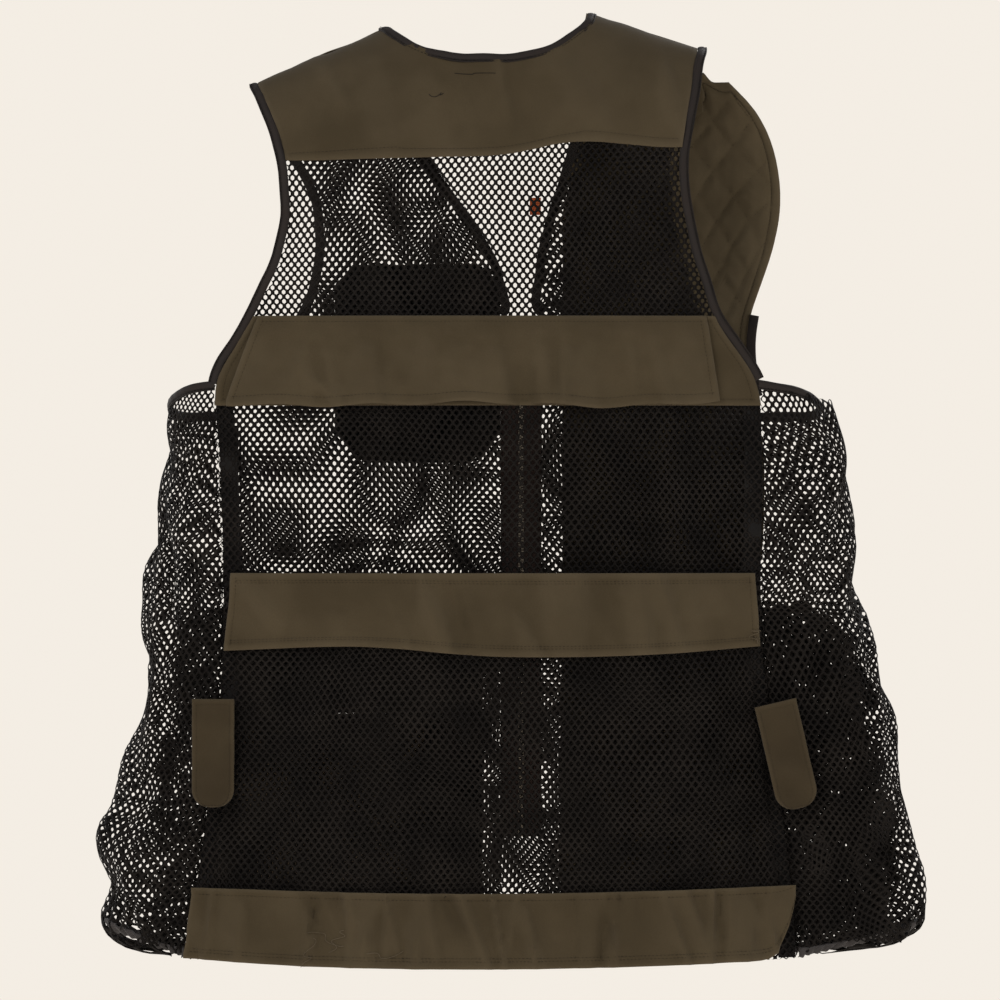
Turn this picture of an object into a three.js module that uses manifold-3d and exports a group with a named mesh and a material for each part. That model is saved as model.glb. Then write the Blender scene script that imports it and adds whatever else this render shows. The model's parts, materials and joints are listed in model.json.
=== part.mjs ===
// A mesh field vest, man's size L, in the shape it has when it is worn or hangs on a shoulder form.
// Millimetres, +Z up. The front faces -Y, the back faces +Y, and the wearer's left is +X.
// The origin is the middle of the neck opening, level with the top of the shoulders.
//
// The body is two curved shells, front and back, that meet along the shoulder ridge and are joined at
// the sides by a netting gusset each. Every cloth piece is a thin sheet that lies on one of the shells.

import * as THREE from "three";
import { mergeVertices } from "three/addons/utils/BufferGeometryUtils.js";
import Module from "manifold-3d";

const wasm = await Module();
wasm.setup();

// ---- Driving dimensions ----

// Body shells.
const BACK_DEPTH = 72; // how far the back stands behind the shoulder ridge
const FRONT_DEPTH = 78; // how far the front stands before it
const SHOULDER_ROUNDING = 85; // the drop in which the shoulders turn from level to upright
const HALF_CHEST = 220; // half the width at which the side curve is stated
const SIDE_CURVE = 0.3; // share of the depth that the shells lose at HALF_CHEST

// Sheet thicknesses and clearances.
const NET = 1.2;
const CLOTH = 1.4;
const GAP = 0.4;
const SEAM_GAP = 1.5; // where two sheets meet on a curved line
const BINDING_WIDTH = 8;
const BINDING_THICK = 1.6;
const BINDING_LIFT = 2.4; // bindings lie over the edges of the cloth
const SEAM_TAPE = 14;
const SEAM_TAPE_LIFT = -2.8; // seam tapes lie on the inside of the cloth

// Levels, down from the shoulder line.
const VENT_TOP = 238;
const VENT_BOTTOM = 309;
const WAIST_TOP = 442;
const HEM_TOP = 692;
const PANEL_BOTTOM = 748;
const FRONT_YOKE_BOTTOM = 100;
const FRONT_HEM_TOP = 704;
const BACKING_TOP = 505; // top of the cloth behind the lower left pocket
const BACKING_INNER = 6; // its edge nearest the closure
const FACING_WIDTH = 42; // how wide it is beside the pocket
const UNDERARM_BACK = 290;
const UNDERARM_FRONT = 314;
const SIDE_HEM_RISE = 22; // how far the gathered side hem pulls up at its middle

// Game pouch.
const POUCH_LIFT = 1.8; // clearance of the outer net where it is sewn down
const POUCH_FULLNESS = 16; // how far the middle of the pouch stands off the back
const POUCH_HALF = 206;

// Front closure.
const CENTRE_FRONT = -25;
const ZIP_TOP = 240;
const ZIP_BOTTOM = 656;
const ZIP_TAPE = 13;
const ZIP_FACE = -80; // the plane of the zip's back
const COIL_WIDTH = 2.1;

// Gun pad, and the cloth panel below it.
const PAD_THICK = 7;
const PAD_BOTTOM = 430;
const PAD_INNER = -58; // its edge nearest the closure
const PAD_OUTER_TOP = 44; // level of its top edge at the armhole
const PIPING_TOP = 236;
const PIPING_BOTTOM = 300;

// Chest pocket.
const CHEST_WIDTH = 134;
const CHEST_HEIGHT = 160;
const CHEST_DEPTH = 14;
const CHEST_LOWER_CORNER = 24; // cut corners
const CHEST_UPPER_CORNER = 16;
const CHEST_PLACE = [58.5, -78.6, -194];
const CHEST_TURN = 3.5;

// Lower pockets.
const LOWER_WIDTH = 164;
const LOWER_HEIGHT = 160;
const LOWER_DEPTH = 18;
const LOWER_TOP = 540;
const LOWER_CORNER = 10;
const POCKET_WALL = 1.6;
const MOUTH_TOP = 8; // from the pocket's top edge to the zip tape
const MOUTH_HEIGHT = 17;
const MOUTH_SIDE = 5; // from the pocket's side edge to the mouth

// Side tabs.
const TAB_WIDTH = 34;
const TAB_LENGTH = 86;
const TAB_THICK = 2.2;
const TAB_STAND = 6; // from the back shell to the tab's inner face

// ---- Materials ----

function cloth(colour, roughness) {
  return new THREE.MeshStandardMaterial({ color: colour, roughness, metalness: 0 });
}

const olive = cloth(0x4a4030, 0.9);
const quilted = cloth(0x4c4433, 0.9);
const netting = cloth(0x141313, 0.85);
const blackCloth = cloth(0x1a1a1c, 0.9);
const tape = cloth(0x2c2622, 0.8);
const zipTape = cloth(0x3a2c28, 0.85);
const orange = cloth(0xd8622a, 0.7);
const coil = new THREE.MeshStandardMaterial({ color: 0x6d675e, roughness: 0.4, metalness: 0.1 });
const steel = new THREE.MeshStandardMaterial({ color: 0x8f8b84, roughness: 0.35, metalness: 0.9 });

const vest = new THREE.Group();

// ---- Curves ----

// A smooth single-valued curve through [at, value] pairs in rising order.
function curveThrough(pairs) {
  const last = pairs.length - 1;
  const slope = (i) => {
    const [a0, v0] = pairs[Math.max(i - 1, 0)];
    const [a1, v1] = pairs[Math.min(i + 1, last)];
    return (v1 - v0) / (a1 - a0);
  };
  return (at) => {
    let i = 0;
    while (i < last - 1 && at > pairs[i + 1][0]) i += 1;
    const [a0, v0] = pairs[i];
    const [a1, v1] = pairs[i + 1];
    const span = a1 - a0;
    const t = THREE.MathUtils.clamp((at - a0) / span, 0, 1);
    const rise = t * t * (3 - 2 * t);
    const leave = t * (1 - t) * (1 - t) * slope(i) * span;
    const arrive = t * t * (t - 1) * slope(i + 1) * span;
    return v0 + (v1 - v0) * rise + leave + arrive;
  };
}

// Outlines: x against the level below the shoulder line. Left is +X.
const backEdgeLeft = curveThrough([
  [52, 186], [92, 167], [138, 159], [184, 163], [236, 186], [272, 208],
  [292, 220], [330, 216], [500, 213], [600, 221], [692, 235], [755, 243],
]);
const backEdgeRight = curveThrough([
  [26, -166], [72, -157], [128, -150], [192, -162], [244, -180], [270, -199],
  [288, -213], [330, -217], [500, -217], [600, -229], [692, -241], [755, -245],
]);
const frontEdgeLeft = curveThrough([
  [52, 186], [84, 168], [116, 148], [150, 134], [190, 134], [234, 144], [272, 176],
  [304, 212], [340, 218], [500, 213], [600, 221], [692, 235], [755, 243],
]);
const frontEdgeRight = curveThrough([
  [42, -170], [56, -195], [84, -216], [110, -227], [140, -231], [172, -228], [204, -218],
  [240, -205], [275, -204], [310, -211], [340, -218], [500, -217], [692, -241], [755, -245],
]);
const neckEdgeLeft = curveThrough([[0, 84], [60, 70], [112, 47], [156, 15], [198, -8], [238, -18]]);
const neckEdgeRight = curveThrough([
  [0, -78], [60, -72], [112, -61], [156, -46], [194, -37], [238, -33],
]);
const outerLeft = curveThrough([
  [300, 258], [326, 253], [368, 260], [440, 270], [528, 275], [608, 286], [684, 309], [748, 302],
]);
const outerRight = curveThrough([
  [300, -262], [368, -286], [464, -292], [536, -310], [608, -330], [660, -329], [692, -338], [748, -348],
]);

// Level of the back yoke's hem, the back hem's top and its lower edge, against x.
const yokeHem = curveThrough([[-152, 104], [-100, 100], [-64, 100], [-10, 110], [60, 112], [160, 114]]);
const hemTop = curveThrough([[-242, 690], [-120, 694], [0, 696], [120, 695], [236, 692]]);
const hemBottom = curveThrough([[-242, 748], [-150, 753], [0, 756], [140, 754], [244, 748]]);
const waistBottom = curveThrough([[-214, 500], [-120, 507], [0, 508], [100, 500], [211, 504]]);
const ventBottom = curveThrough([[-180, 306], [-90, 311], [0, 307], [110, 310], [208, 309]]);

// Share of the pouch's fullness against the level.
const pouchShare = curveThrough([[442, 0.85], [560, 1], [640, 0.8], [692, 0.19]]);

const SHOULDER_TOP = 29;
const SHOULDER_SLOPE = 0.375;
const SHOULDER_TILT = 0.06; // the left shoulder hangs lower than the right one

const NECK_LEFT = 86;
const NECK_RIGHT = -78;
const NECK_DIP = 30;

// Where the shoulder ridge ends at the armholes.
const ARMHOLE_LEFT = 187;
const ARMHOLE_RIGHT = -166;
const ARMHOLE_TOP_LEFT = 52;
const ARMHOLE_TOP_RIGHT = 26;
const RIDGE_CLEAR = 0.02; // the shells turn level at the ridge, so the cloth stops just below it

// Height of the shoulder ridge, where front and back meet.
function ridge(x) {
  return SHOULDER_TOP - SHOULDER_SLOPE * Math.abs(x) - SHOULDER_TILT * x;
}

// Height of the back neckline.
function neckline(x) {
  const middle = (NECK_LEFT + NECK_RIGHT) / 2;
  const half = (NECK_LEFT - NECK_RIGHT) / 2;
  return -NECK_DIP * (1 - Math.abs((x - middle) / half) ** 3);
}

// ---- Shells ----

function roundness(x, z) {
  const drop = Math.max(ridge(x) - z, 0.02);
  return Math.sqrt(1 - Math.exp(-drop / SHOULDER_ROUNDING));
}

function onBack(x, z) {
  const side = 1 - SIDE_CURVE * Math.abs(x / HALF_CHEST) ** 3;
  return new THREE.Vector3(x, BACK_DEPTH * roundness(x, z) * side, z);
}

function onFront(x, z) {
  const side = 1 - SIDE_CURVE * (x / HALF_CHEST) ** 2;
  return new THREE.Vector3(x, -FRONT_DEPTH * roundness(x, z) * side, z);
}

// The half-round gusset between the side seams: around = 0 at the back seam, 1 at the front seam.
function onGusset(sign, around, level) {
  const left = sign > 0;
  const backX = left ? backEdgeLeft(Math.max(level, 292)) : backEdgeRight(Math.max(level, 288));
  const frontX = left ? frontEdgeLeft(Math.max(level, 312)) : frontEdgeRight(Math.max(level, 312));
  const outer = left ? outerLeft(level) : outerRight(level);
  const start = onBack(backX + sign * SEAM_GAP, -level);
  const end = onFront(frontX + sign * SEAM_GAP, -level);
  const bulge = Math.sin(Math.PI * around);
  const swing = Math.cos(Math.PI * around);
  const seam = THREE.MathUtils.lerp(start.x, end.x, around);
  const y = swing > 0 ? start.y * swing : -end.y * swing;
  return new THREE.Vector3(THREE.MathUtils.lerp(seam, outer, bulge), y, -level);
}

// ---- Sheet makers ----

function add(name, geometry, material, parent = vest) {
  const mesh = new THREE.Mesh(geometry, material);
  mesh.name = name;
  parent.add(mesh);
  return mesh;
}

// A sheet bent from a flat plate. surface(u, v) is its inner face, with v running downwards, and the
// sheet lies on the outer side of it, away from the wearer.
function bentSheet(name, material, surface, { columns, rows, thick, lift = 0 }) {
  const step = 0.01;
  const normalAt = (u, v) => {
    const along = surface(Math.min(u + step, 1), v).sub(surface(Math.max(u - step, 0), v));
    const downwards = surface(u, Math.min(v + step, 1)).sub(surface(u, Math.max(v - step, 0)));
    return along.cross(downwards).normalize();
  };
  const centre = surface(0.5, 0.5);
  const facesOut = normalAt(0.5, 0.5).dot(new THREE.Vector3(centre.x, centre.y, 0)) > 0;
  const geometry = new THREE.BoxGeometry(1, 1, 1, columns, 1, rows);
  const corners = geometry.getAttribute("position");
  for (let i = 0; i < corners.count; i += 1) {
    const along = corners.getX(i) + 0.5;
    const u = facesOut ? along : 1 - along;
    const v = 0.5 - corners.getZ(i);
    const height = lift + thick * (corners.getY(i) + 0.5);
    const normal = normalAt(u, v).multiplyScalar(facesOut ? 1 : -1);
    const point = surface(u, v).addScaledVector(normal, height);
    corners.setXYZ(i, point.x, point.y, point.z);
  }
  geometry.deleteAttribute("uv");
  geometry.computeVertexNormals();
  return add(name, geometry, material);
}

// A sheet between two side outlines and two levels, on a shell.
function panel(name, material, shell, { low, high, top, bottom, ...size }) {
  const surface = (u, v) => {
    const level = THREE.MathUtils.lerp(top, bottom, v);
    return shell(THREE.MathUtils.lerp(low(level), high(level), u), -level);
  };
  return bentSheet(name, material, surface, size);
}

// A tape that lies just inside an edge. edge(t) gives [x, z], and inward is 1 where the cloth lies to
// the left of the way the edge runs, seen from behind the vest.
function edgeBinding(name, shell, edge, inward, steps) {
  const step = 0.004;
  const surface = (u, v) => {
    const [x, z] = edge(v);
    const [x0, z0] = edge(Math.max(v - step, 0));
    const [x1, z1] = edge(Math.min(v + step, 1));
    const length = Math.hypot(x1 - x0, z1 - z0);
    const across = (u * BINDING_WIDTH * inward) / length;
    return shell(x - (z1 - z0) * across, z + (x1 - x0) * across);
  };
  const size = { columns: 1, rows: steps, thick: BINDING_THICK, lift: BINDING_LIFT };
  return bentSheet(name, tape, surface, size);
}

function levelPath(outline, top, bottom) {
  return (t) => {
    const level = THREE.MathUtils.lerp(top, bottom, t);
    return [outline(level), -level];
  };
}

// ---- Solid makers ----

function toSolid(geometry) {
  const bare = geometry.clone();
  bare.deleteAttribute("normal");
  bare.deleteAttribute("uv");
  const merged = mergeVertices(bare, 1e-4);
  const vertProperties = new Float32Array(merged.getAttribute("position").array);
  const triVerts = new Uint32Array(merged.index.array);
  return new wasm.Manifold(new wasm.Mesh({ numProp: 3, vertProperties, triVerts }));
}

function toGeometry(solid) {
  const mesh = solid.getMesh();
  const geometry = new THREE.BufferGeometry();
  geometry.setAttribute("position", new THREE.BufferAttribute(mesh.vertProperties, 3));
  geometry.setIndex(new THREE.BufferAttribute(mesh.triVerts, 1));
  geometry.computeVertexNormals();
  return geometry;
}

// A plate in the XZ plane whose inner face is at y and which is thick towards -Y.
function plate(shape, thick, y = 0) {
  const flat = { depth: thick, bevelEnabled: false, curveSegments: 6 };
  const geometry = new THREE.ExtrudeGeometry(shape, flat);
  geometry.rotateX(Math.PI / 2);
  geometry.translate(0, y, 0);
  return geometry;
}

function outline(points) {
  return new THREE.Shape(points.map(([x, z]) => new THREE.Vector2(x, z)));
}

function rectangle(x0, z0, x1, z1) {
  return outline([[x0, z0], [x1, z0], [x1, z1], [x0, z1]]);
}

function box(x0, y0, z0, x1, y1, z1) {
  const geometry = new THREE.BoxGeometry(x1 - x0, y1 - y0, z1 - z0);
  geometry.translate((x0 + x1) / 2, (y0 + y1) / 2, (z0 + z1) / 2);
  return geometry;
}

// ---- Back ----

// Columns of the yoke: a quarter on each shoulder, half across the neck.
function yokeX(u) {
  const stops = [[0, ARMHOLE_RIGHT], [0.25, NECK_RIGHT], [0.75, NECK_LEFT], [1, ARMHOLE_LEFT - 1]];
  const i = u < 0.25 ? 0 : u < 0.75 ? 1 : 2;
  const [u0, x0] = stops[i];
  const [u1, x1] = stops[i + 1];
  return THREE.MathUtils.mapLinear(u, u0, u1, x0, x1);
}

function backYoke() {
  const surface = (u, v) => {
    const x = yokeX(u);
    const inNeck = x > NECK_RIGHT && x < NECK_LEFT;
    const shoulder = ridge(x) - RIDGE_CLEAR;
    const top = inNeck ? Math.min(shoulder, neckline(x) - SEAM_GAP) : shoulder;
    const z = top + (-yokeHem(x) - top) * v * v;
    const share = (x - ARMHOLE_RIGHT) / (ARMHOLE_LEFT - 1 - ARMHOLE_RIGHT);
    const right = backEdgeRight(Math.max(-z, ARMHOLE_TOP_RIGHT)) + GAP;
    const left = backEdgeLeft(Math.max(-z, ARMHOLE_TOP_LEFT)) - GAP;
    const placed = THREE.MathUtils.lerp(right, left, share);
    return onBack(placed, Math.min(z, ridge(placed) - RIDGE_CLEAR));
  };
  bentSheet("back_yoke", olive, surface, { columns: 16, rows: 7, thick: CLOTH });
}

function backPanels() {
  const low = (level) => backEdgeRight(level) + GAP;
  const high = (level) => backEdgeLeft(level) - GAP;
  const upper = (u, v) => {
    const nominal = THREE.MathUtils.lerp(-152, 160, u);
    const level = THREE.MathUtils.lerp(yokeHem(nominal) + SEAM_GAP, VENT_TOP - GAP, v);
    return onBack(THREE.MathUtils.lerp(low(level), high(level), u), -level);
  };
  bentSheet("back_upper_net", netting, upper, { columns: 10, rows: 4, thick: NET });

  const size = { columns: 12, low, high };
  panel("vent_under_band", olive, onBack, {
    ...size, rows: 3, thick: CLOTH, top: VENT_TOP, bottom: VENT_BOTTOM,
  });
  panel("back_middle_net", netting, onBack, {
    ...size, rows: 3, thick: NET, top: VENT_BOTTOM + GAP, bottom: WAIST_TOP - GAP,
  });
  panel("pouch_lining_net", netting, onBack, {
    ...size, rows: 6, thick: NET, top: WAIST_TOP, bottom: PANEL_BOTTOM,
  });
}

// The vent flap hangs free below its top seam, over the under band.
const FLAP_LIFT = 4.6;

function ventFlap() {
  const left = curveThrough([[237, 182], [309, 208]]);
  const right = curveThrough([[237, -170], [309, -181]]);
  const surface = (u, v) => {
    const nominal = THREE.MathUtils.lerp(-180, 208, u);
    const level = THREE.MathUtils.lerp(VENT_TOP, ventBottom(nominal), v);
    return onBack(THREE.MathUtils.lerp(right(level), left(level), u), -level);
  };
  bentSheet("vent_flap", olive, surface, { columns: 12, rows: 3, thick: CLOTH, lift: FLAP_LIFT });
}

// Surface of the pouch's outer side.
function onPouch(x, z) {
  const point = onBack(x, z);
  const across = 1 - Math.abs(THREE.MathUtils.clamp(x / POUCH_HALF, -1, 1)) ** 3;
  point.y += POUCH_LIFT + POUCH_FULLNESS * across * pouchShare(-z);
  return point;
}

function pouch() {
  const bandLeft = curveThrough([[442, 204], [505, 211]]);
  const bandRight = curveThrough([[442, -210], [505, -214]]);
  const band = (u, v) => {
    const nominal = THREE.MathUtils.lerp(-214, 211, u);
    const level = THREE.MathUtils.lerp(WAIST_TOP, waistBottom(nominal), v);
    return onPouch(THREE.MathUtils.lerp(bandRight(level), bandLeft(level), u), -level);
  };
  bentSheet("waist_band", olive, band, { columns: 12, rows: 3, thick: CLOTH });

  const net = (u, v) => {
    const nominal = THREE.MathUtils.lerp(-214, 211, u);
    const top = waistBottom(nominal) + SEAM_GAP;
    const level = THREE.MathUtils.lerp(top, hemTop(nominal) - SEAM_GAP, v);
    const right = backEdgeRight(level) + SEAM_TAPE;
    const left = backEdgeLeft(level) - SEAM_TAPE;
    return onPouch(THREE.MathUtils.lerp(right, left, u), -level);
  };
  bentSheet("pouch_outer_net", netting, net, { columns: 12, rows: 6, thick: NET });

  const hemLeft = curveThrough([[692, 235], [746, 243]]);
  const hemRight = curveThrough([[692, -242], [746, -241]]);
  const hem = (u, v) => {
    const nominal = THREE.MathUtils.lerp(-242, 243, u);
    const level = THREE.MathUtils.lerp(hemTop(nominal), hemBottom(nominal), v);
    const point = onBack(THREE.MathUtils.lerp(hemRight(level), hemLeft(level), u), -level);
    point.y += POUCH_LIFT + POUCH_FULLNESS * pouchShare(HEM_TOP);
    return point;
  };
  bentSheet("hem_band", olive, hem, { columns: 14, rows: 3, thick: CLOTH });
}

// ---- Sides ----

// A piece on the gusset between two levels, which may change around it.
function gussetPiece(name, material, sign, top, bottom, size) {
  const surface = (u, v) => {
    const level = THREE.MathUtils.lerp(top(u), bottom(u), v);
    return onGusset(sign, u, level);
  };
  bentSheet(name, material, surface, size);
}

function sides() {
  const underarm = (u) => {
    return THREE.MathUtils.lerp(UNDERARM_BACK, UNDERARM_FRONT, THREE.MathUtils.smoothstep(u, 0, 0.8));
  };
  const foot = (u) => PANEL_BOTTOM - SIDE_HEM_RISE * Math.sin(Math.PI * u) ** 2;
  const ease = BINDING_WIDTH;
  for (const [side, sign] of [["left", 1], ["right", -1]]) {
    const round = { columns: 12, rows: 1, thick: BINDING_THICK };
    gussetPiece(`underarm_binding_${side}`, tape, sign, underarm, (u) => underarm(u) + ease, round);
    const top = (u) => underarm(u) + ease + GAP;
    const bottom = (u) => foot(u) - ease - GAP;
    gussetPiece(`side_net_${side}`, netting, sign, top, bottom, { columns: 12, rows: 8, thick: NET });
    gussetPiece(`side_hem_elastic_${side}`, tape, sign, (u) => foot(u) - ease, foot, round);
  }
}

// Tapes that cover the four side seams.
function seamTapes() {
  const seams = [
    ["back_seam_tape_left", onBack, backEdgeLeft, -1, 302],
    ["back_seam_tape_right", onBack, backEdgeRight, 1, 302],
    ["front_seam_tape_left", onFront, frontEdgeLeft, -1, 324],
    ["front_seam_tape_right", onFront, frontEdgeRight, 1, 324],
  ];
  for (const [name, shell, seam, inward, top] of seams) {
    const low = (level) => Math.min(seam(level), seam(level) + inward * SEAM_TAPE);
    const high = (level) => Math.max(seam(level), seam(level) + inward * SEAM_TAPE);
    const size = { columns: 1, rows: 8, thick: CLOTH, lift: SEAM_TAPE_LIFT };
    panel(name, tape, shell, { low, high, top, bottom: PANEL_BOTTOM, ...size });
  }
}

// ---- Edge bindings ----

function bindings() {
  const neck = (t) => {
    const x = THREE.MathUtils.lerp(NECK_LEFT - 4, NECK_RIGHT + 4, t);
    return [x, Math.min(neckline(x), ridge(x) - 0.5)];
  };
  edgeBinding("neck_binding", onBack, neck, 1, 12);
  const fromLeftRidge = 64;
  const fromRightRidge = 36;
  const toZip = ZIP_TOP - 4;
  const backLeft = levelPath(backEdgeLeft, fromLeftRidge, UNDERARM_BACK - 1);
  const backRight = levelPath(backEdgeRight, fromRightRidge, UNDERARM_BACK - 5);
  const frontLeft = levelPath(frontEdgeLeft, fromLeftRidge, UNDERARM_FRONT - 3);
  edgeBinding("armhole_binding_back_left", onBack, backLeft, -1, 14);
  edgeBinding("armhole_binding_back_right", onBack, backRight, 1, 14);
  edgeBinding("armhole_binding_front_left", onFront, frontLeft, -1, 14);
  edgeBinding("neck_binding_front_left", onFront, levelPath(neckEdgeLeft, 18, toZip), 1, 12);
  edgeBinding("neck_binding_front_right", onFront, levelPath(neckEdgeRight, 10, toZip), -1, 12);
}

// ---- Front ----

const closureLeft = CENTRE_FRONT + ZIP_TAPE + GAP + 3;
const closureRight = CENTRE_FRONT - ZIP_TAPE - GAP - 3;

function innerLeft(level) {
  return level < ZIP_TOP ? Math.max(neckEdgeLeft(level) + GAP, closureLeft) : closureLeft;
}

function innerRight(level) {
  return level < ZIP_TOP ? Math.min(neckEdgeRight(level) - GAP, closureRight) : closureRight;
}

const bindingInset = BINDING_WIDTH + GAP;

// Level of the lower edge of the right shoulder piece, which the gun pad starts under.
function padTop(x) {
  return THREE.MathUtils.mapLinear(Math.abs(x), 64, 168, FRONT_YOKE_BOTTOM, PAD_OUTER_TOP);
}

function frontShoulders() {
  const left = (u, v) => {
    const top = ridge(THREE.MathUtils.lerp(NECK_LEFT, ARMHOLE_LEFT, u)) - RIDGE_CLEAR;
    const z = top - (FRONT_YOKE_BOTTOM + top) * v * v;
    const low = neckEdgeLeft(Math.max(-z, 0)) + GAP;
    const high = frontEdgeLeft(Math.max(-z, ARMHOLE_TOP_LEFT)) - GAP;
    return onFront(THREE.MathUtils.lerp(low, high, u), z);
  };
  bentSheet("front_shoulder_left", olive, left, { columns: 6, rows: 7, thick: CLOTH });
  const right = (u, v) => {
    const nominal = THREE.MathUtils.lerp(NECK_RIGHT - 1, ARMHOLE_RIGHT, u);
    const top = ridge(nominal) - RIDGE_CLEAR;
    const z = top - (padTop(nominal) + top) * v * v;
    const low = neckEdgeRight(Math.max(-z, 0)) - GAP;
    return onFront(THREE.MathUtils.lerp(low, ARMHOLE_RIGHT + 2, u), z);
  };
  bentSheet("front_shoulder_right", olive, right, { columns: 6, rows: 7, thick: CLOTH });
}

function frontPanels() {
  const armhole = (level) => frontEdgeLeft(level) - GAP;
  panel("front_net_left", netting, onFront, {
    low: innerLeft, high: armhole, top: FRONT_YOKE_BOTTOM + SEAM_GAP, bottom: PANEL_BOTTOM,
    columns: 7, rows: 18, thick: NET,
  });
  const right = (u, v) => {
    const top = THREE.MathUtils.lerp(FRONT_YOKE_BOTTOM, PAD_OUTER_TOP + 2, u) + SEAM_GAP;
    const level = THREE.MathUtils.lerp(top, PANEL_BOTTOM, v);
    const outer = frontEdgeRight(level) + SEAM_GAP;
    return onFront(THREE.MathUtils.lerp(innerRight(level), outer, u), -level);
  };
  bentSheet("front_net_right", netting, right, { columns: 7, rows: 18, thick: NET });
}

const LAYER = NET + 2 * GAP; // lift of what is sewn on the outside of the front netting

function gunPad() {
  const surface = (u, v) => {
    const top = THREE.MathUtils.lerp(FRONT_YOKE_BOTTOM, PAD_OUTER_TOP, u) + SEAM_GAP;
    const level = THREE.MathUtils.lerp(top, PAD_BOTTOM, v);
    const inner = Math.min(innerRight(level) - bindingInset, PAD_INNER);
    return onFront(THREE.MathUtils.lerp(inner, frontEdgeRight(level), u), -level);
  };
  bentSheet("gun_pad", quilted, surface, { columns: 8, rows: 14, thick: PAD_THICK, lift: LAYER });

  const beside = (level) => frontEdgeRight(level) - SEAM_GAP - BINDING_WIDTH;
  const edge = levelPath(beside, PIPING_TOP, PIPING_BOTTOM);
  const piping = (u, v) => {
    const [x, z] = edge(v);
    return onFront(x + u * BINDING_WIDTH, z);
  };
  bentSheet("gun_pad_piping", tape, piping, { columns: 1, rows: 6, thick: CLOTH, lift: LAYER });
}

function frontOverlays() {
  const seamRight = (level) => frontEdgeRight(level) + 2;
  const seamLeft = (level) => frontEdgeLeft(level) - 2;
  const sewn = { thick: CLOTH, lift: LAYER };
  panel("front_panel_right", olive, onFront, {
    ...sewn, low: seamRight, high: () => PAD_INNER,
    top: PAD_BOTTOM + GAP, bottom: FRONT_HEM_TOP, columns: 6, rows: 6,
  });
  // The black facing runs above the lower left pocket and down its inner side, and is cut away behind it.
  const facing = panel("pocket_backing_left", blackCloth, onFront, {
    ...sewn, low: () => BACKING_INNER, high: seamLeft,
    top: BACKING_TOP, bottom: FRONT_HEM_TOP, columns: 6, rows: 5,
  });
  const cutFrom = BACKING_INNER + FACING_WIDTH;
  const behindPocket = box(cutFrom, -FRONT_DEPTH * 2, -PANEL_BOTTOM, HALF_CHEST * 2, 0, -LOWER_TOP);
  facing.geometry = toGeometry(toSolid(facing.geometry).subtract(toSolid(behindPocket)));
  const hem = { ...sewn, top: FRONT_HEM_TOP + GAP, bottom: PANEL_BOTTOM, columns: 7, rows: 1 };
  panel("front_hem_left", olive, onFront, { ...hem, low: () => closureLeft, high: seamLeft });
  panel("front_hem_right", olive, onFront, { ...hem, low: seamRight, high: () => closureRight });
}

// ---- Main zip ----

const SLIDER_LENGTH = 13;
const SLIDER_HALF = 4.5;
const SLIDER_THICK = 4.4;
const SMALL_SLIDER = { half: 4, length: 11, thick: 4 };
const PULL_STAND = 3; // from a small slider's face to the eye of its pull, which leaves room to swing
const TEETH_THICK = 2.4;

// A slider's body: a waisted plate with a bridge that holds the pull.
function sliderShape(half, length) {
  return outline([
    [-half, 0], [-half * 0.7, length * 0.45], [-half, length],
    [half, length], [half * 0.7, length * 0.45], [half, 0],
  ]);
}

function sliderGeometry(half, length, thick) {
  const body = toSolid(plate(sliderShape(half, length), thick * 0.55));
  const bridge = toSolid(box(-1.2, -thick, length * 0.2, 1.2, -thick * 0.5, length * 0.8));
  const tunnel = toSolid(box(-2, -thick * 0.8, length * 0.34, 2, -thick * 0.56, length * 0.66));
  return toGeometry(body.add(bridge).subtract(tunnel));
}

// A pull that hangs from its eye: the eye's centre is the mesh's origin.
function pullGeometry(width, length, thick) {
  const shape = outline([
    [-width / 2, 2.4], [-width / 2, -length * 0.55], [-width * 0.36, -length],
    [width * 0.36, -length], [width / 2, -length * 0.55], [width / 2, 2.4],
  ]);
  const eye = new THREE.Path();
  eye.absarc(0, 0, 1.7, 0, Math.PI * 2, true);
  shape.holes.push(eye);
  return plate(shape, thick, thick / 2);
}

function mainZip() {
  const zip = new THREE.Group();
  zip.position.set(CENTRE_FRONT, ZIP_FACE, 0);
  vest.add(zip);
  const half = COIL_WIDTH + GAP;
  for (const [side, sign] of [["left", 1], ["right", -1]]) {
    const near = sign * half;
    const far = sign * ZIP_TAPE;
    const tapeShape = rectangle(Math.min(near, far), -ZIP_BOTTOM, Math.max(near, far), -ZIP_TOP);
    add(`zip_tape_${side}`, plate(tapeShape, NET), zipTape, zip);
    const teeth = [sign * 0.2, sign * COIL_WIDTH];
    const rowShape = rectangle(Math.min(...teeth), -ZIP_BOTTOM + 12, Math.max(...teeth), -ZIP_TOP - 4);
    add(`zip_teeth_${side}`, plate(rowShape, TEETH_THICK, 0.6), coil, zip);
  }
  const retainer = box(-COIL_WIDTH, -3, -ZIP_BOTTOM, COIL_WIDTH, 0.8, -ZIP_BOTTOM + 11);
  add("zip_retainer_box", retainer, coil, zip);

  const slider = new THREE.Group();
  slider.position.set(0, -TEETH_THICK + 0.6 - GAP, -ZIP_TOP - SLIDER_LENGTH - 5);
  zip.add(slider);
  add("zip_slider", sliderGeometry(SLIDER_HALF, SLIDER_LENGTH, SLIDER_THICK), steel, slider);
  const pull = add("zip_pull", pullGeometry(7, 30, 1.4), steel, slider);
  pull.position.set(0, -SLIDER_THICK - GAP - 1, SLIDER_LENGTH * 0.2 - 2.2);
}

// ---- Pockets ----

// A patch pocket, hollow towards the body: outer solid less the space inside it.
function hollow(outerShape, innerShape, depth) {
  const outside = toSolid(plate(outerShape, depth));
  const inside = toSolid(plate(innerShape, depth - POCKET_WALL + 2, 2));
  return outside.subtract(inside);
}

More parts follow.
